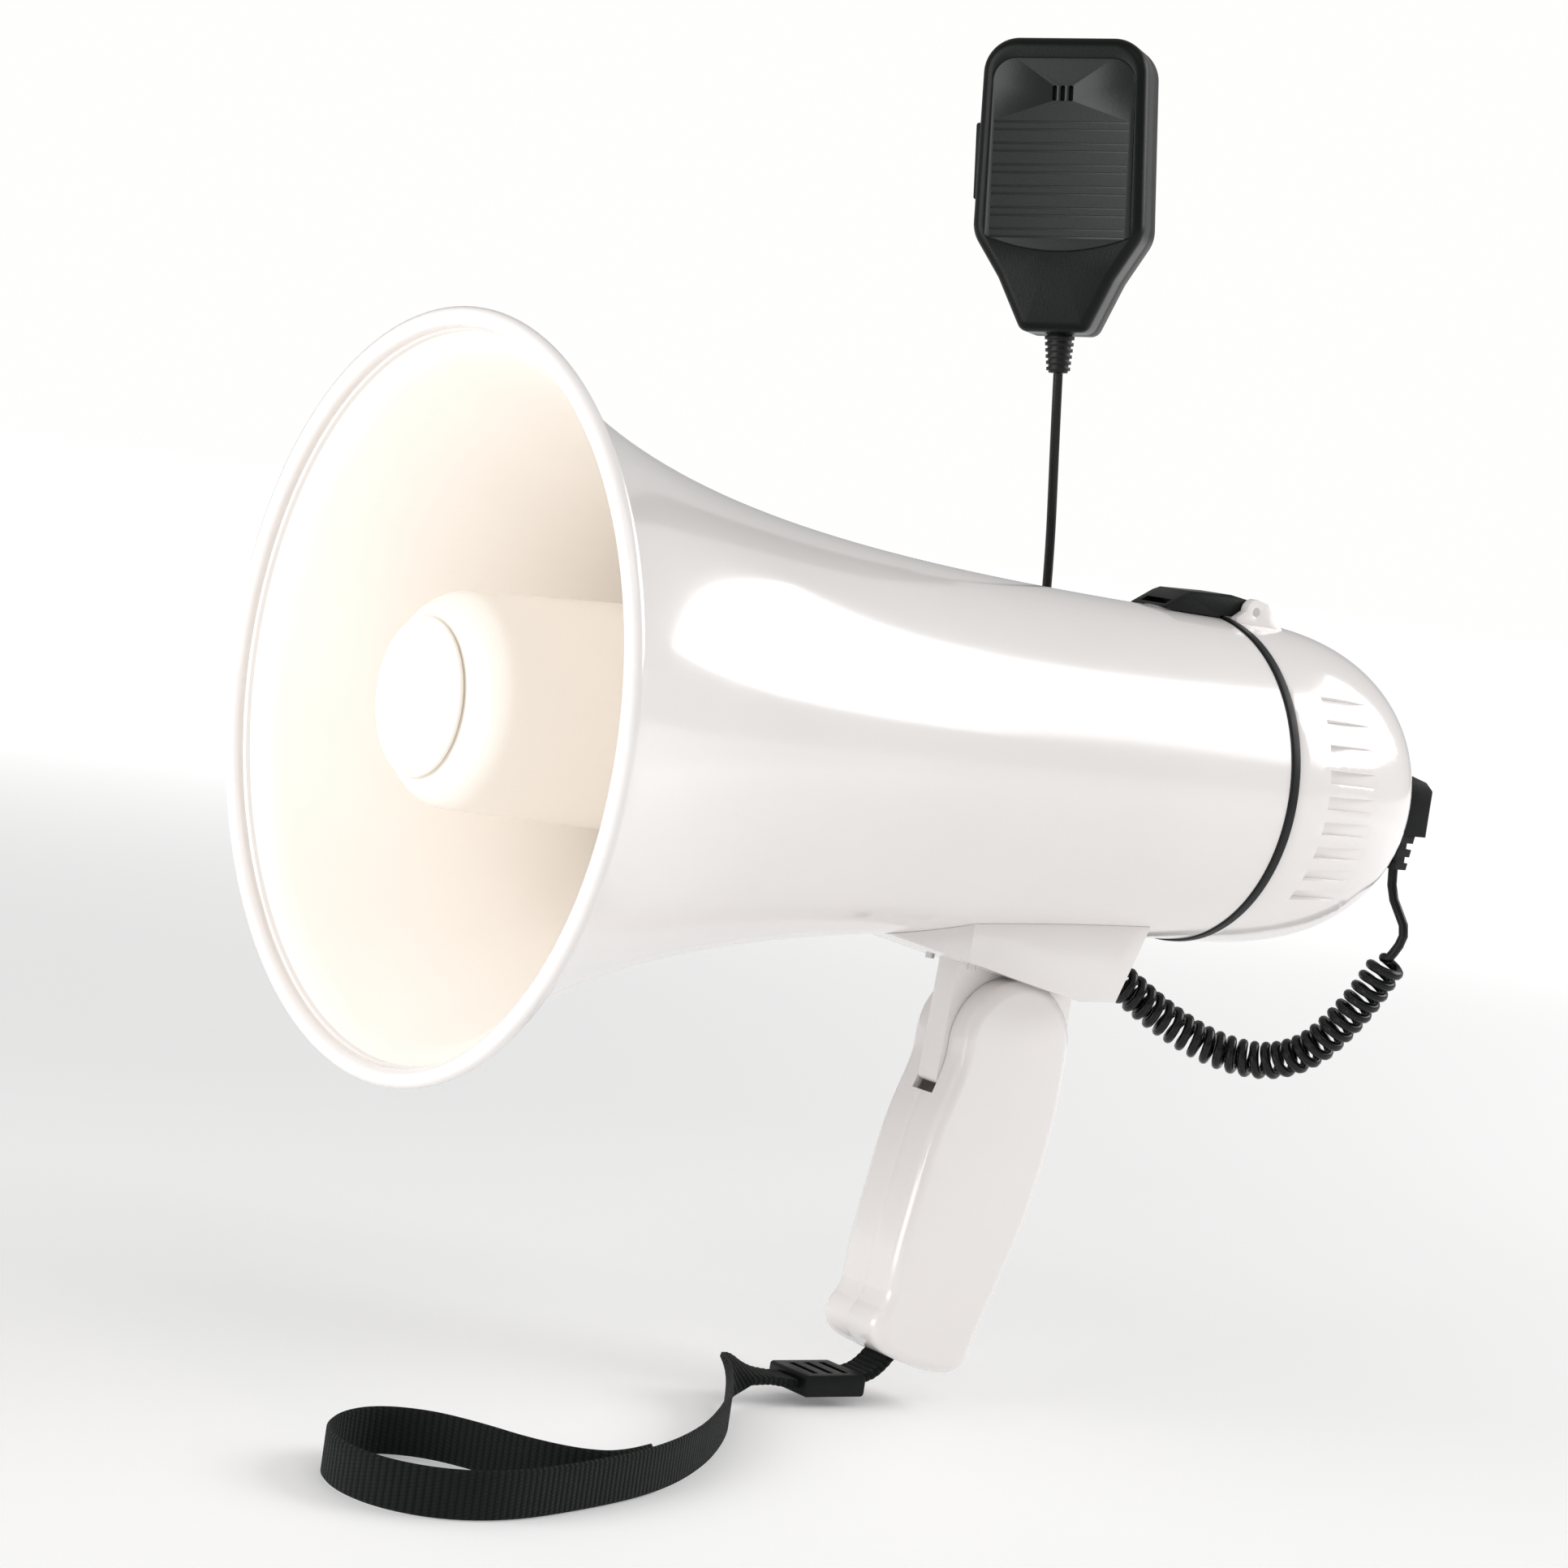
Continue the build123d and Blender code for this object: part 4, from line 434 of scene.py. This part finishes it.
def finishes():
    """Every finish of the megaphone, by name; made once."""
    colors = bpy.context.scene.megaphone_colors
    rib = bpy.context.scene.megaphone_strap.rib
    makers = {
        "white_shell": lambda name: moulded(name, colors.shell, 0.16, gloss=0.6),
        # Cream of the reflector and inner parts, and on the horn's inside painted warm light over its white
        "cream_plastic": lambda name: moulded(name, colors.lining, 0.3, gloss=0.2),
        "black_plastic": lambda name: moulded(name, colors.black, 0.34, 0.3, gloss=0.0, age=0.12, shine=0.16),
        "satin_panel": lambda name: moulded(name, tone(colors.black, 2.2), 0.3, 0.15, gloss=0.0, shine=0.3),
        "button_red": lambda name: moulded(name, colors.button, 0.35, texture=0.12),
        "black_rubber": lambda name: rubber(name, colors.jacket, 0.42),
        "cord_jacket": lambda name: rubber(name, colors.jacket, 0.24),
        "webbing": lambda name: woven(name, colors.webbing, rib),
        "steel": lambda name: metal(name, (0.62, 0.62, 0.61), 0.22),
        "heat_sink_alloy": lambda name: metal(name, (0.72, 0.72, 0.74), 0.35, 900.0),
        "ferrite": lambda name: moulded(name, (0.05, 0.05, 0.055), 0.6, texture=0.5, gloss=0.0, age=0.1),
        "diaphragm_film": lambda name: moulded(name, (0.28, 0.13, 0.05), 0.4, texture=0.2),
        "circuit_board": board,
        "capacitor_sleeve": lambda name: moulded(name, (0.02, 0.025, 0.07), 0.25, gloss=0.5),
        "cell_wrap": lambda name: moulded(name, (0.04, 0.13, 0.10), 0.3, gloss=0.5),
    }
    for name, maker in makers.items():
        if f"{name}_finish" not in bpy.data.materials:
            maker(f"{name}_finish")
    return {name: bpy.data.materials[f"{name}_finish"] for name in makers}


# ---- Mesh helpers --------------------------------------------------------------------------------------
def finish_mesh(piece, angle=35.0):
    """Shades a piece smooth up to an angle."""
    piece.data.polygons.foreach_set("use_smooth", [True] * len(piece.data.polygons))
    crisp = piece.modifiers.new("crisp edges", "EDGE_SPLIT")
    crisp.split_angle = math.radians(angle)
    crisp.use_edge_sharp = False


def add_piece(name, bm, body, slot, stands_for=(), angle=35.0, recalculate=True):
    """Turns a bmesh into a piece of the megaphone that rides a body, or stays unattached when no body is given."""
    if recalculate:
        bmesh.ops.remove_doubles(bm, verts=bm.verts, dist=1e-6)
        bmesh.ops.recalc_face_normals(bm, faces=bm.faces)
    mesh = bpy.data.meshes.new(name)
    bm.to_mesh(mesh)
    bm.free()
    piece = bpy.data.objects.new(name, mesh)
    bpy.context.scene.collection.objects.link(piece)
    mesh.materials.append(finishes()[slot])
    finish_mesh(piece, angle)
    if body:
        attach(piece, body)
    if stands_for:
        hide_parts(*stands_for)
    return piece


def dress(slot, *names, bevel=0.0, angle=35.0, finish=None):
    """Gives engineered pieces their finish, welded and shaded smooth, with softened edges."""
    for name in names:
        piece = nodes[name]
        piece.data.materials.clear()
        piece.data.materials.append(finishes()[finish or slot])
        piece.data.polygons.foreach_set("material_index", [0] * len(piece.data.polygons))
        weld = piece.modifiers.new("weld", "WELD")
        weld.merge_threshold = 1e-6
        if bevel:
            soften = piece.modifiers.new("softened edges", "BEVEL")
            soften.width = bevel
            soften.segments = 2
            soften.limit_method = "ANGLE"
            soften.angle_limit = math.radians(angle + 10)
        finish_mesh(piece, angle)


def lathe(bm, profile, centre, segments=None):
    """Spins a profile of (x, radius) about the horn's axis, or about a line through centre along X."""
    steps = segments or bpy.context.scene.megaphone_horn.segments
    verts = [bm.verts.new((x, centre[0], centre[1] + radius)) for x, radius in profile]
    edges = [bm.edges.new(pair) for pair in zip(verts, verts[1:])]
    bmesh.ops.spin(
        bm, geom=verts + edges, cent=(0, *centre), axis=(1, 0, 0), dvec=(0, 0, 0),
        angle=math.tau, steps=steps, use_merge=True, use_duplicate=False,
    )


def arc(centre, radius, start, end, steps):
    """Points of an arc in the profile's plane, in degrees."""
    turns = [math.radians(start + (end - start) * step / steps) for step in range(steps + 1)]
    return [(centre[0] + radius * math.cos(turn), centre[1] + radius * math.sin(turn)) for turn in turns]


def slab(bm, size, matrix, bevel=0.0):
    """A block with rounded edges, placed by a matrix."""
    made = bmesh.ops.create_cube(bm, size=1.0, matrix=matrix @ Matrix.Diagonal((*size, 1.0)))
    if bevel:
        edges = {edge for vert in made["verts"] for edge in vert.link_edges}
        bmesh.ops.bevel(
            bm, geom=list(edges), offset=bevel, affect="EDGES", segments=2, profile=0.5, material=-1,
        )


def spline(name, points, order=3):
    """A curve object of one open NURBS spline."""
    curve = bpy.data.curves.new(name, "CURVE")
    curve.dimensions = "3D"
    strand = curve.splines.new("NURBS")
    strand.points.add(len(points) - 1)
    for point, place in zip(strand.points, points):
        point.co = (*place, 1.0)
    strand.order_u = order
    strand.use_endpoint_u = True
    strand.resolution_u = 12
    line = bpy.data.objects.new(name, curve)
    bpy.context.scene.collection.objects.link(line)
    return line


def read_line(route, spacing):
    """Evenly spaced points along the smooth line of a route."""
    guide = spline("route_guide", route)
    mesh = bpy.data.meshes.new_from_object(guide)
    raw = [vert.co.copy() for vert in mesh.vertices]
    curve = guide.data
    bpy.data.objects.remove(guide)
    bpy.data.curves.remove(curve)
    bpy.data.meshes.remove(mesh)
    reach = [0.0]
    for before, after in zip(raw, raw[1:]):
        reach.append(reach[-1] + (after - before).length)
    count = max(2, round(reach[-1] / spacing))
    points = []
    index = 0
    for step in range(count + 1):
        goal = reach[-1] * step / count
        while index < len(raw) - 2 and reach[index + 1] < goal:
            index += 1
        share = (goal - reach[index]) / (reach[index + 1] - reach[index])
        points.append(raw[index].lerp(raw[index + 1], share))
    return points


def headings(points):
    """Direction of a line at each of its points."""
    last = len(points) - 1
    return [
        (points[min(index + 1, last)] - points[max(index - 1, 0)]).normalized()
        for index in range(len(points))
    ]


def ribbon(bm, points, sizes):
    """The strap's band along a line: doubled and flat, then turned on edge and single, with cross ribs."""
    along_layer = bm.verts.layers.float.new("along")
    across_layer = bm.verts.layers.float.new("across")
    half = sizes.width / 2
    round_off = sizes.thickness / 2
    outline = [(share * (half - round_off), 0.5) for share in (-1, -0.5, 0, 0.5, 1)]
    outline += [(half, 0.0)]
    outline += [(x, -y) for x, y in reversed(outline[:5])]
    outline += [(-half, 0.0)]
    ring = []
    travelled = 0.0
    previous = None
    for point, heading in zip(points, headings(points)):
        if previous is not None:
            travelled += (point - previous).length
        previous = point
        share = min(1.0, max(0.0, (travelled - sizes.twist_start) / sizes.twist_length))
        turn = share * share * (3 - 2 * share) * math.pi / 2
        across = Vector((0.0, math.cos(turn), math.sin(turn)))
        across = (across - heading * across.dot(heading)).normalized()
        normal = heading.cross(across)
        thickness = sizes.thickness * (2.0 - share)
        swell = thickness * (0.84 + 0.16 * abs(math.sin(math.pi * travelled / sizes.rib)))
        places = [point + across * x + normal * (y * swell) for x, y in outline]
        if ring:
            made = bmesh.ops.extrude_edge_only(bm, edges=loop_edges(ring))
            fresh = [item for item in made["geom"] if isinstance(item, bmesh.types.BMVert)]
            partner = {}
            for vert in fresh:
                for edge in vert.link_edges:
                    other = edge.other_vert(vert)
                    if other in ring:
                        partner[other] = vert
            ring = [partner[vert] for vert in ring]
        else:
            ring = [bm.verts.new(place) for place in places]
            for pair in zip(ring, ring[1:] + ring[:1]):
                bm.edges.new(pair)
            first = ring
        for vert, place, (x, y) in zip(ring, places, outline):
            vert.co = place
            vert[along_layer] = travelled
            vert[across_layer] = x + half
    bmesh.ops.contextual_create(bm, geom=first)
    bmesh.ops.contextual_create(bm, geom=ring)


def loop_edges(ring):
    """Edges that join the neighbours of a closed ring of vertices."""
    members = set(ring)
    edges = set()
    for vert, after in zip(ring, ring[1:] + ring[:1]):
        for edge in vert.link_edges:
            if edge.other_vert(vert) is after and after in members:
                edges.add(edge)
    return list(edges)


# ---- Pieces --------------------------------------------------------------------------------------------
def flare(x):
    """Outer radius of the horn at a place along X."""
    sizes = bpy.context.scene.megaphone_horn
    lip = horn_high.z - AXIS_Z - sizes.bead
    mouth = horn_low.x + sizes.bead / 2
    return sizes.body_radius + (lip - sizes.body_radius) * math.exp((mouth - x) / sizes.flare_length)


class MEGAPHONE_OT_horn(bpy.types.Operator):
    """Flared horn: white skin, a lining coloured cream as painted warm light inside the bell, rolled rim with its
    inner step, and the latch's catch
    """

    bl_idname = "megaphone.horn"
    bl_label = "Horn"

    def execute(self, context):
        sizes = context.scene.megaphone_horn
        mouth = horn_low.x + sizes.bead / 2
        lip = flare(mouth)
        length = SEAM_X - mouth
        stations = [mouth + length * (step / 44) ** 1.35 for step in range(2, 45)]
        bm = bmesh.new()
        rim = arc((mouth + sizes.bead / 2, lip), sizes.bead, 60, 282, 18)
        step_in = [
            (mouth + sizes.bead * 0.95, lip - sizes.bead * 0.98),
            (mouth + sizes.bead * 1.15, lip - sizes.bead * 1.22),
            (mouth + sizes.bead * 1.6, lip - sizes.bead * 1.32),
        ]
        skin = [(x, flare(x)) for x in reversed(stations)]
        lining = [(x, flare(x) - sizes.wall) for x in stations if x > mouth + sizes.bead * 2]
        lathe(bm, skin + rim + step_in + lining, (0.0, AXIS_Z))
        bmesh.ops.remove_doubles(bm, verts=bm.verts, dist=1e-6)
        seam = [edge for edge in bm.edges if edge.is_boundary]
        bmesh.ops.bridge_loops(bm, edges=seam)
        bmesh.ops.recalc_face_normals(bm, faces=bm.faces)
        # Inner faces behind the rim take the second finish, the cream: painted warm light on the horn's white
        # plastic
        for face in bm.faces:
            centre = face.calc_center_median()
            radial = Vector((0.0, centre.y, centre.z - AXIS_Z))
            behind_rim = centre.x > mouth + sizes.bead * 1.4
            face.material_index = 1 if behind_rim and face.normal.dot(radial) < 0 else 0
        lever_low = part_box("latch_lever")[0]
        catch = Matrix.Translation((lever_low.x + 0.0041, 0.0, AXIS_Z + flare(lever_low.x)))
        slab(bm, (0.003, 0.011, 0.0022), catch, 0.0004)
        piece = add_piece("horn_skin", bm, BODY, "white_shell", ("horn_bell",), 30.0, recalculate=False)
        piece.data.materials.append(finishes()["cream_plastic"])
        dress("white_shell", "handle_bracket", bevel=0.0004, angle=30.0)
        dress("cream_plastic", "spider", "throat_tube", "bulkhead", bevel=0.0003)
        dress("steel", "bracket_screws", "bulkhead_screws")
        return {"FINISHED"}


class MEGAPHONE_OT_reflector(bpy.types.Operator):
    """Inner reflector with its rounded nose, raised ring and dished disc"""

    bl_idname = "megaphone.reflector"
    bl_label = "Reflector"

    def execute(self, context):
        low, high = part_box("reflector")
        cap_low, cap_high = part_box("reflector_cap")
        rear = high.z - AXIS_Z
        front = rear - 0.003
        nose = 0.013
        wall = 0.0022
        bm = bmesh.new()
        outside = [(high.x, rear), ((low.x + high.x) / 2, (front + rear) / 2)]
        outside += arc((low.x + nose, front - nose), nose, 88, 180, 14)
        outside += [(low.x, 0.008), (low.x, 0.0)]
        inside = [(low.x + wall, 0.0), (low.x + wall, front - nose)]
        inside += arc((low.x + nose, front - nose), nose - wall, 180, 90, 10)
        inside += [(high.x, rear - wall), (high.x, rear)]
        lathe(bm, outside + inside, (0.0, AXIS_Z))
        add_piece("reflector_shell", bm, BODY, "cream_plastic", ("reflector",), 30.0)
        ring = cap_high.z - AXIS_Z
        bm = bmesh.new()
        disc = [(cap_high.x - 0.0001, 0.0), (cap_high.x - 0.0001, ring - 0.0006)]
        disc += arc((cap_low.x + 0.0011, ring - 0.0012), 0.0011, 60, 270, 10)[:9]
        disc += [
            (cap_low.x + 0.0008, ring - 0.0026), (cap_low.x + 0.0014, ring - 0.0034),
            (cap_low.x + 0.0015, ring * 0.72), (cap_low.x + 0.0013, ring * 0.4), (cap_low.x + 0.0006, 0.0014),
            (cap_low.x + 0.0005, 0.0),
        ]
        lathe(bm, disc, (0.0, AXIS_Z), 96)
        add_piece("reflector_disc", bm, BODY, "cream_plastic", ("reflector_cap",), 30.0)
        return {"FINISHED"}


class MEGAPHONE_OT_rear(bpy.types.Operator):
    """Rear cover, rubber gasket at the seam, and the latch that joins them"""

    bl_idname = "megaphone.rear"
    bl_label = "Rear cover"

    def execute(self, context):
        low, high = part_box("gasket_band")
        outer = high.z - AXIS_Z
        bm = bmesh.new()
        band = [(low.x, outer - 0.0035), (low.x, outer - 0.0008)]
        band += arc((low.x + 0.0008, outer - 0.0008), 0.0008, 180, 90, 5)
        band += arc((high.x - 0.0008, outer - 0.0008), 0.0008, 90, 0, 5)
        band += [(high.x, outer - 0.0035), (low.x, outer - 0.0035)]
        lathe(bm, band, (0.0, AXIS_Z))
        add_piece("seam_gasket", bm, BODY, "black_rubber", ("gasket_band",), 40.0)
        dress("white_shell", "rear_cover", bevel=0.0003, angle=28.0)
        dress("black_plastic", "latch_lever", bevel=0.0005, angle=20.0)
        dress("steel", "latch_pin")
        return {"FINISHED"}


class MEGAPHONE_OT_grip(bpy.types.Operator):
    """Two halves of the grip with their pins and screws"""

    bl_idname = "megaphone.grip"
    bl_label = "Grip"

    def execute(self, context):
        dress("white_shell", "grip_left", "grip_right", bevel=0.0003, angle=32.0)
        dress("steel", "grip_pin", "grip_screws", "strap_pin")
        return {"FINISHED"}


class MEGAPHONE_OT_controls(bpy.types.Operator):
    """Rear panel with its knob, buttons, switch and sockets"""

    bl_idname = "megaphone.controls"
    bl_label = "Controls"

    def execute(self, context):
        dress("black_plastic", "control_panel", "volume_knob", "mode_switch", "charge_socket", bevel=0.0002)
        dress("button_red", "talk_button", "siren_button", "music_button")
        dress("steel", "mic_socket")
        panel_low, panel_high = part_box("control_panel")
        knob_low, knob_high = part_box("volume_knob")
        centre = (knob_low + knob_high) / 2
        reach = (knob_high.y - knob_low.y) / 2 + 0.0016
        bm = bmesh.new()
        for index in range(11):
            turn = math.radians(-140 + 28 * index)
            spin = Matrix.Translation((panel_high.x + 0.00005, centre.y, centre.z)) @ Matrix.Rotation(turn, 4, "X")
            slab(bm, (0.0005, 0.0006, 0.0016), spin @ Matrix.Translation((0, 0, reach)), 0.0001)
        add_piece("volume_scale", bm, BODY, "white_shell")
        return {"FINISHED"}


class MEGAPHONE_OT_inner_parts(bpy.types.Operator):
    """Driver, batteries and amplifier inside the body"""

    bl_idname = "megaphone.inner_parts"
    bl_label = "Inner parts"

    def execute(self, context):
        dress("steel", "driver_frame", "driver_screws", "yoke", "battery_contacts", bevel=0.0002)
        dress("ferrite", "magnet", bevel=0.0004)
        dress("diaphragm_film", "diaphragm")
        dress("black_plastic", "battery_holder", "potentiometer", bevel=0.0002)
        dress("cell_wrap", "battery_cells", bevel=0.0004)
        dress("circuit_board", "amplifier_board", "button_board", "mic_board")
        dress("heat_sink_alloy", "heat_sink")
        dress("capacitor_sleeve", "capacitors", bevel=0.0003)
        return {"FINISHED"}


class MEGAPHONE_OT_microphone(bpy.types.Operator):
    """Hand microphone: shells, front panel, talk key, clip and cord boot"""

    bl_idname = "megaphone.microphone"
    bl_label = "Microphone"

    def execute(self, context):
        dress("black_plastic", "mic_front_shell", "mic_back_shell", "mic_clip", bevel=0.0003, angle=30.0)
        dress("satin_panel", "mic_front_panel", bevel=0.00012, angle=25.0)
        dress("black_plastic", "ptt_button", "ptt_switch", bevel=0.0002)
        dress("steel", "mic_screws", "clip_pin", "clip_spring")
        dress("black_rubber", "mic_capsule")
        dress("black_rubber", "mic_strain_relief", bevel=0.0002)
        return {"FINISHED"}


class MEGAPHONE_OT_cord(bpy.types.Operator):
    """Microphone cord: straight lead, tight coil and tail, as one jacket, with its plug"""

    bl_idname = "megaphone.cord"
    bl_label = "Cord"

    def execute(self, context):
        sizes = context.scene.megaphone_cord
        centre_line = read_line(COIL_ROUTE, 0.0004)
        directions = headings(centre_line)
        radius = (sizes.coil - sizes.wire) / 2
        side = directions[0].cross(Vector((0.0, 0.0, 1.0))).normalized()
        per_turn = 14
        count = sizes.turns * per_turn
        helix = []
        last = 0
        for index in range(1, count):
            place = index / count * (len(centre_line) - 1)
            near = int(place)
            heading = directions[near]
            for step in range(last, near + 1):
                side = (side - directions[step] * side.dot(directions[step])).normalized()
            last = near
            other = heading.cross(side)
            turn = math.tau * index / per_turn
            ramp = min(1.0, index / (0.7 * per_turn), (count - index) / (0.7 * per_turn))
            swing = radius * math.sin(ramp * math.pi / 2)
            middle = centre_line[near].lerp(centre_line[min(near + 1, len(centre_line) - 1)], place - near)
            helix.append(middle + (side * math.cos(turn) + other * math.sin(turn)) * swing)
        route = [*LEAD_ROUTE[:-1], *helix, *TAIL_ROUTE[1:]]
        piece = spline("microphone_cord", route)
        piece.data.splines[0].resolution_u = 3
        piece.data.bevel_depth = sizes.wire / 2
        piece.data.bevel_resolution = 3
        piece.data.use_fill_caps = True
        piece.data.materials.append(finishes()["cord_jacket"])
        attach(piece, BODY)
        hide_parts("cord_lead", "cord_coil", "cord_tail")
        dress("black_plastic", "mic_plug", bevel=0.0002)
        dress("black_rubber", "plug_strain_relief", bevel=0.0002)
        return {"FINISHED"}


class MEGAPHONE_OT_strap(bpy.types.Operator):
    """Wrist strap of ribbed webbing with its slide buckle"""

    bl_idname = "megaphone.strap"
    bl_label = "Wrist strap"

    def execute(self, context):
        sizes = context.scene.megaphone_strap
        route = [*STRAP_LEAD_ROUTE, *[(x, y, GROUND_Z + sizes.width / 2) for x, y in STRAP_LOOP_ROUTE]]
        line = read_line(route, 0.0006)
        bm = bmesh.new()
        ribbon(bm, line, sizes)
        strap = add_piece("wrist_strap", bm, None, "webbing", ("strap_lead", "strap_loop"), 60.0)
        dress("black_plastic", "strap_buckle", bevel=0.0003)
        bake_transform(strap)
        return {"FINISHED"}


class MEGAPHONE_OT_stage(bpy.types.Operator):
    """Pale floor, soft studio light and the camera"""

    bl_idname = "megaphone.stage"
    bl_label = "Stage"

    def execute(self, context):
        scene = context.scene
        settings = scene.megaphone_stage
        bm = bmesh.new()
        bmesh.ops.create_grid(
            bm, x_segments=2, y_segments=2, size=20.0, matrix=Matrix.Translation((0, 0, GROUND_Z - 0.0002))
        )
        mesh = bpy.data.meshes.new("floor")
        bm.to_mesh(mesh)
        bm.free()
        floor = bpy.data.objects.new("floor", mesh)
        scene.collection.objects.link(floor)
        material, start, shader = surface("pale_floor", roughness=0.6)
        shader.inputs["Specular IOR Level"].default_value = 0.2
        grain = start.noise(400.0, 2.0)
        feed(shader, base_color=grain.mix(tone(settings.floor, 0.99), tone(settings.floor, 1.01)))
        east = start.axis("X")
        north = start.axis("Y")
        reach = ((east * east + north * north) * 0.1).ramp(0.03, 0.5)
        feed(shader, emission_color=reach.mix(tone((1.0, 1.0, 1.0), settings.glow), tone((1.0, 1.0, 1.0), 0.66)))
        shader.inputs["Emission Strength"].default_value = 1.0
        mesh.materials.append(material)
        world = bpy.data.worlds.new("studio")
        world.use_nodes = True
        sky = world.node_tree.nodes["Background"]
        sky.inputs["Color"].default_value = (1.0, 0.995, 0.99, 1.0)
        start = Shade(world.node_tree)
        seen = start.node("ShaderNodeLightPath", {}, {}, "Is Camera Ray")
        world.node_tree.links.new((seen * (1.0 - settings.sky) + settings.sky).socket, sky.inputs["Strength"])
        scene.world = world
        target = Vector((-0.02, 0.0, 0.14))
        lights = (
            ("side_light", (1.39, -0.51, 0.94), 1.4, 0.9, 1.0),
            ("front_light", (-1.8, -0.1, 0.45), 1.3, 1.3, 1.35),
            ("top_light", (-0.4, -1.3, 1.6), 1.2, 0.8, 0.15),
        )
        for name, place, width, height, share in lights:
            data = bpy.data.lights.new(name, "AREA")
            data.shape = "RECTANGLE"
            data.size = width
            data.size_y = height
            data.energy = settings.key_power * share
            lamp = bpy.data.objects.new(name, data)
            lamp.location = place
            lamp.rotation_mode = "QUATERNION"
            lamp.rotation_quaternion = (target - lamp.location).to_track_quat("-Z", "Y")
            scene.collection.objects.link(lamp)
        data = bpy.data.cameras.new("camera")
        data.lens = settings.lens
        data.sensor_width = 36.0
        data.clip_start = 0.05
        camera = bpy.data.objects.new("camera", data)
        turn = (
            Matrix.Rotation(-settings.heading, 4, "Z")
            @ Matrix.Rotation(math.pi / 2 - settings.dip, 4, "X")
            @ Matrix.Rotation(settings.roll, 4, "Z")
        )
        camera.matrix_world = Matrix.Translation(settings.eye) @ turn
        scene.collection.objects.link(camera)
        scene.camera = camera
        scene.view_settings.view_transform = "Standard"
        return {"FINISHED"}


class MEGAPHONE_PT_sidebar(bpy.types.Panel):
    """Lists the pieces of the megaphone"""

    bl_label = "Megaphone"
    bl_idname = "MEGAPHONE_PT_sidebar"
    bl_space_type = "VIEW_3D"
    bl_region_type = "UI"
    bl_category = "Megaphone"

    def draw(self, context):
        for operator in OPERATORS:
            self.layout.operator(operator.bl_idname)
        for group, kind in GROUPS.items():
            for name in kind.__annotations__:
                self.layout.prop(getattr(context.scene, group), name)


OPERATORS = (
    MEGAPHONE_OT_stage,
    MEGAPHONE_OT_cord,
    MEGAPHONE_OT_strap,
    MEGAPHONE_OT_horn,
    MEGAPHONE_OT_reflector,
    MEGAPHONE_OT_rear,
    MEGAPHONE_OT_grip,
    MEGAPHONE_OT_controls,
    MEGAPHONE_OT_inner_parts,
    MEGAPHONE_OT_microphone,
)


def register():
    for group in GROUPS.values():
        bpy.utils.register_class(group)
    for name, group in GROUPS.items():
        setattr(bpy.types.Scene, name, PointerProperty(type=group))
    for operator in OPERATORS:
        bpy.utils.register_class(operator)
    bpy.utils.register_class(MEGAPHONE_PT_sidebar)


def unregister():
    bpy.utils.unregister_class(MEGAPHONE_PT_sidebar)
    for operator in reversed(OPERATORS):
        bpy.utils.unregister_class(operator)
    for name, group in GROUPS.items():
        delattr(bpy.types.Scene, name)
        bpy.utils.unregister_class(group)


def main():
    register()
    for operator in OPERATORS:
        name = operator.bl_idname.partition(".")[2]
        getattr(bpy.ops.megaphone, name)()


if __name__ == "__main__":
    main()
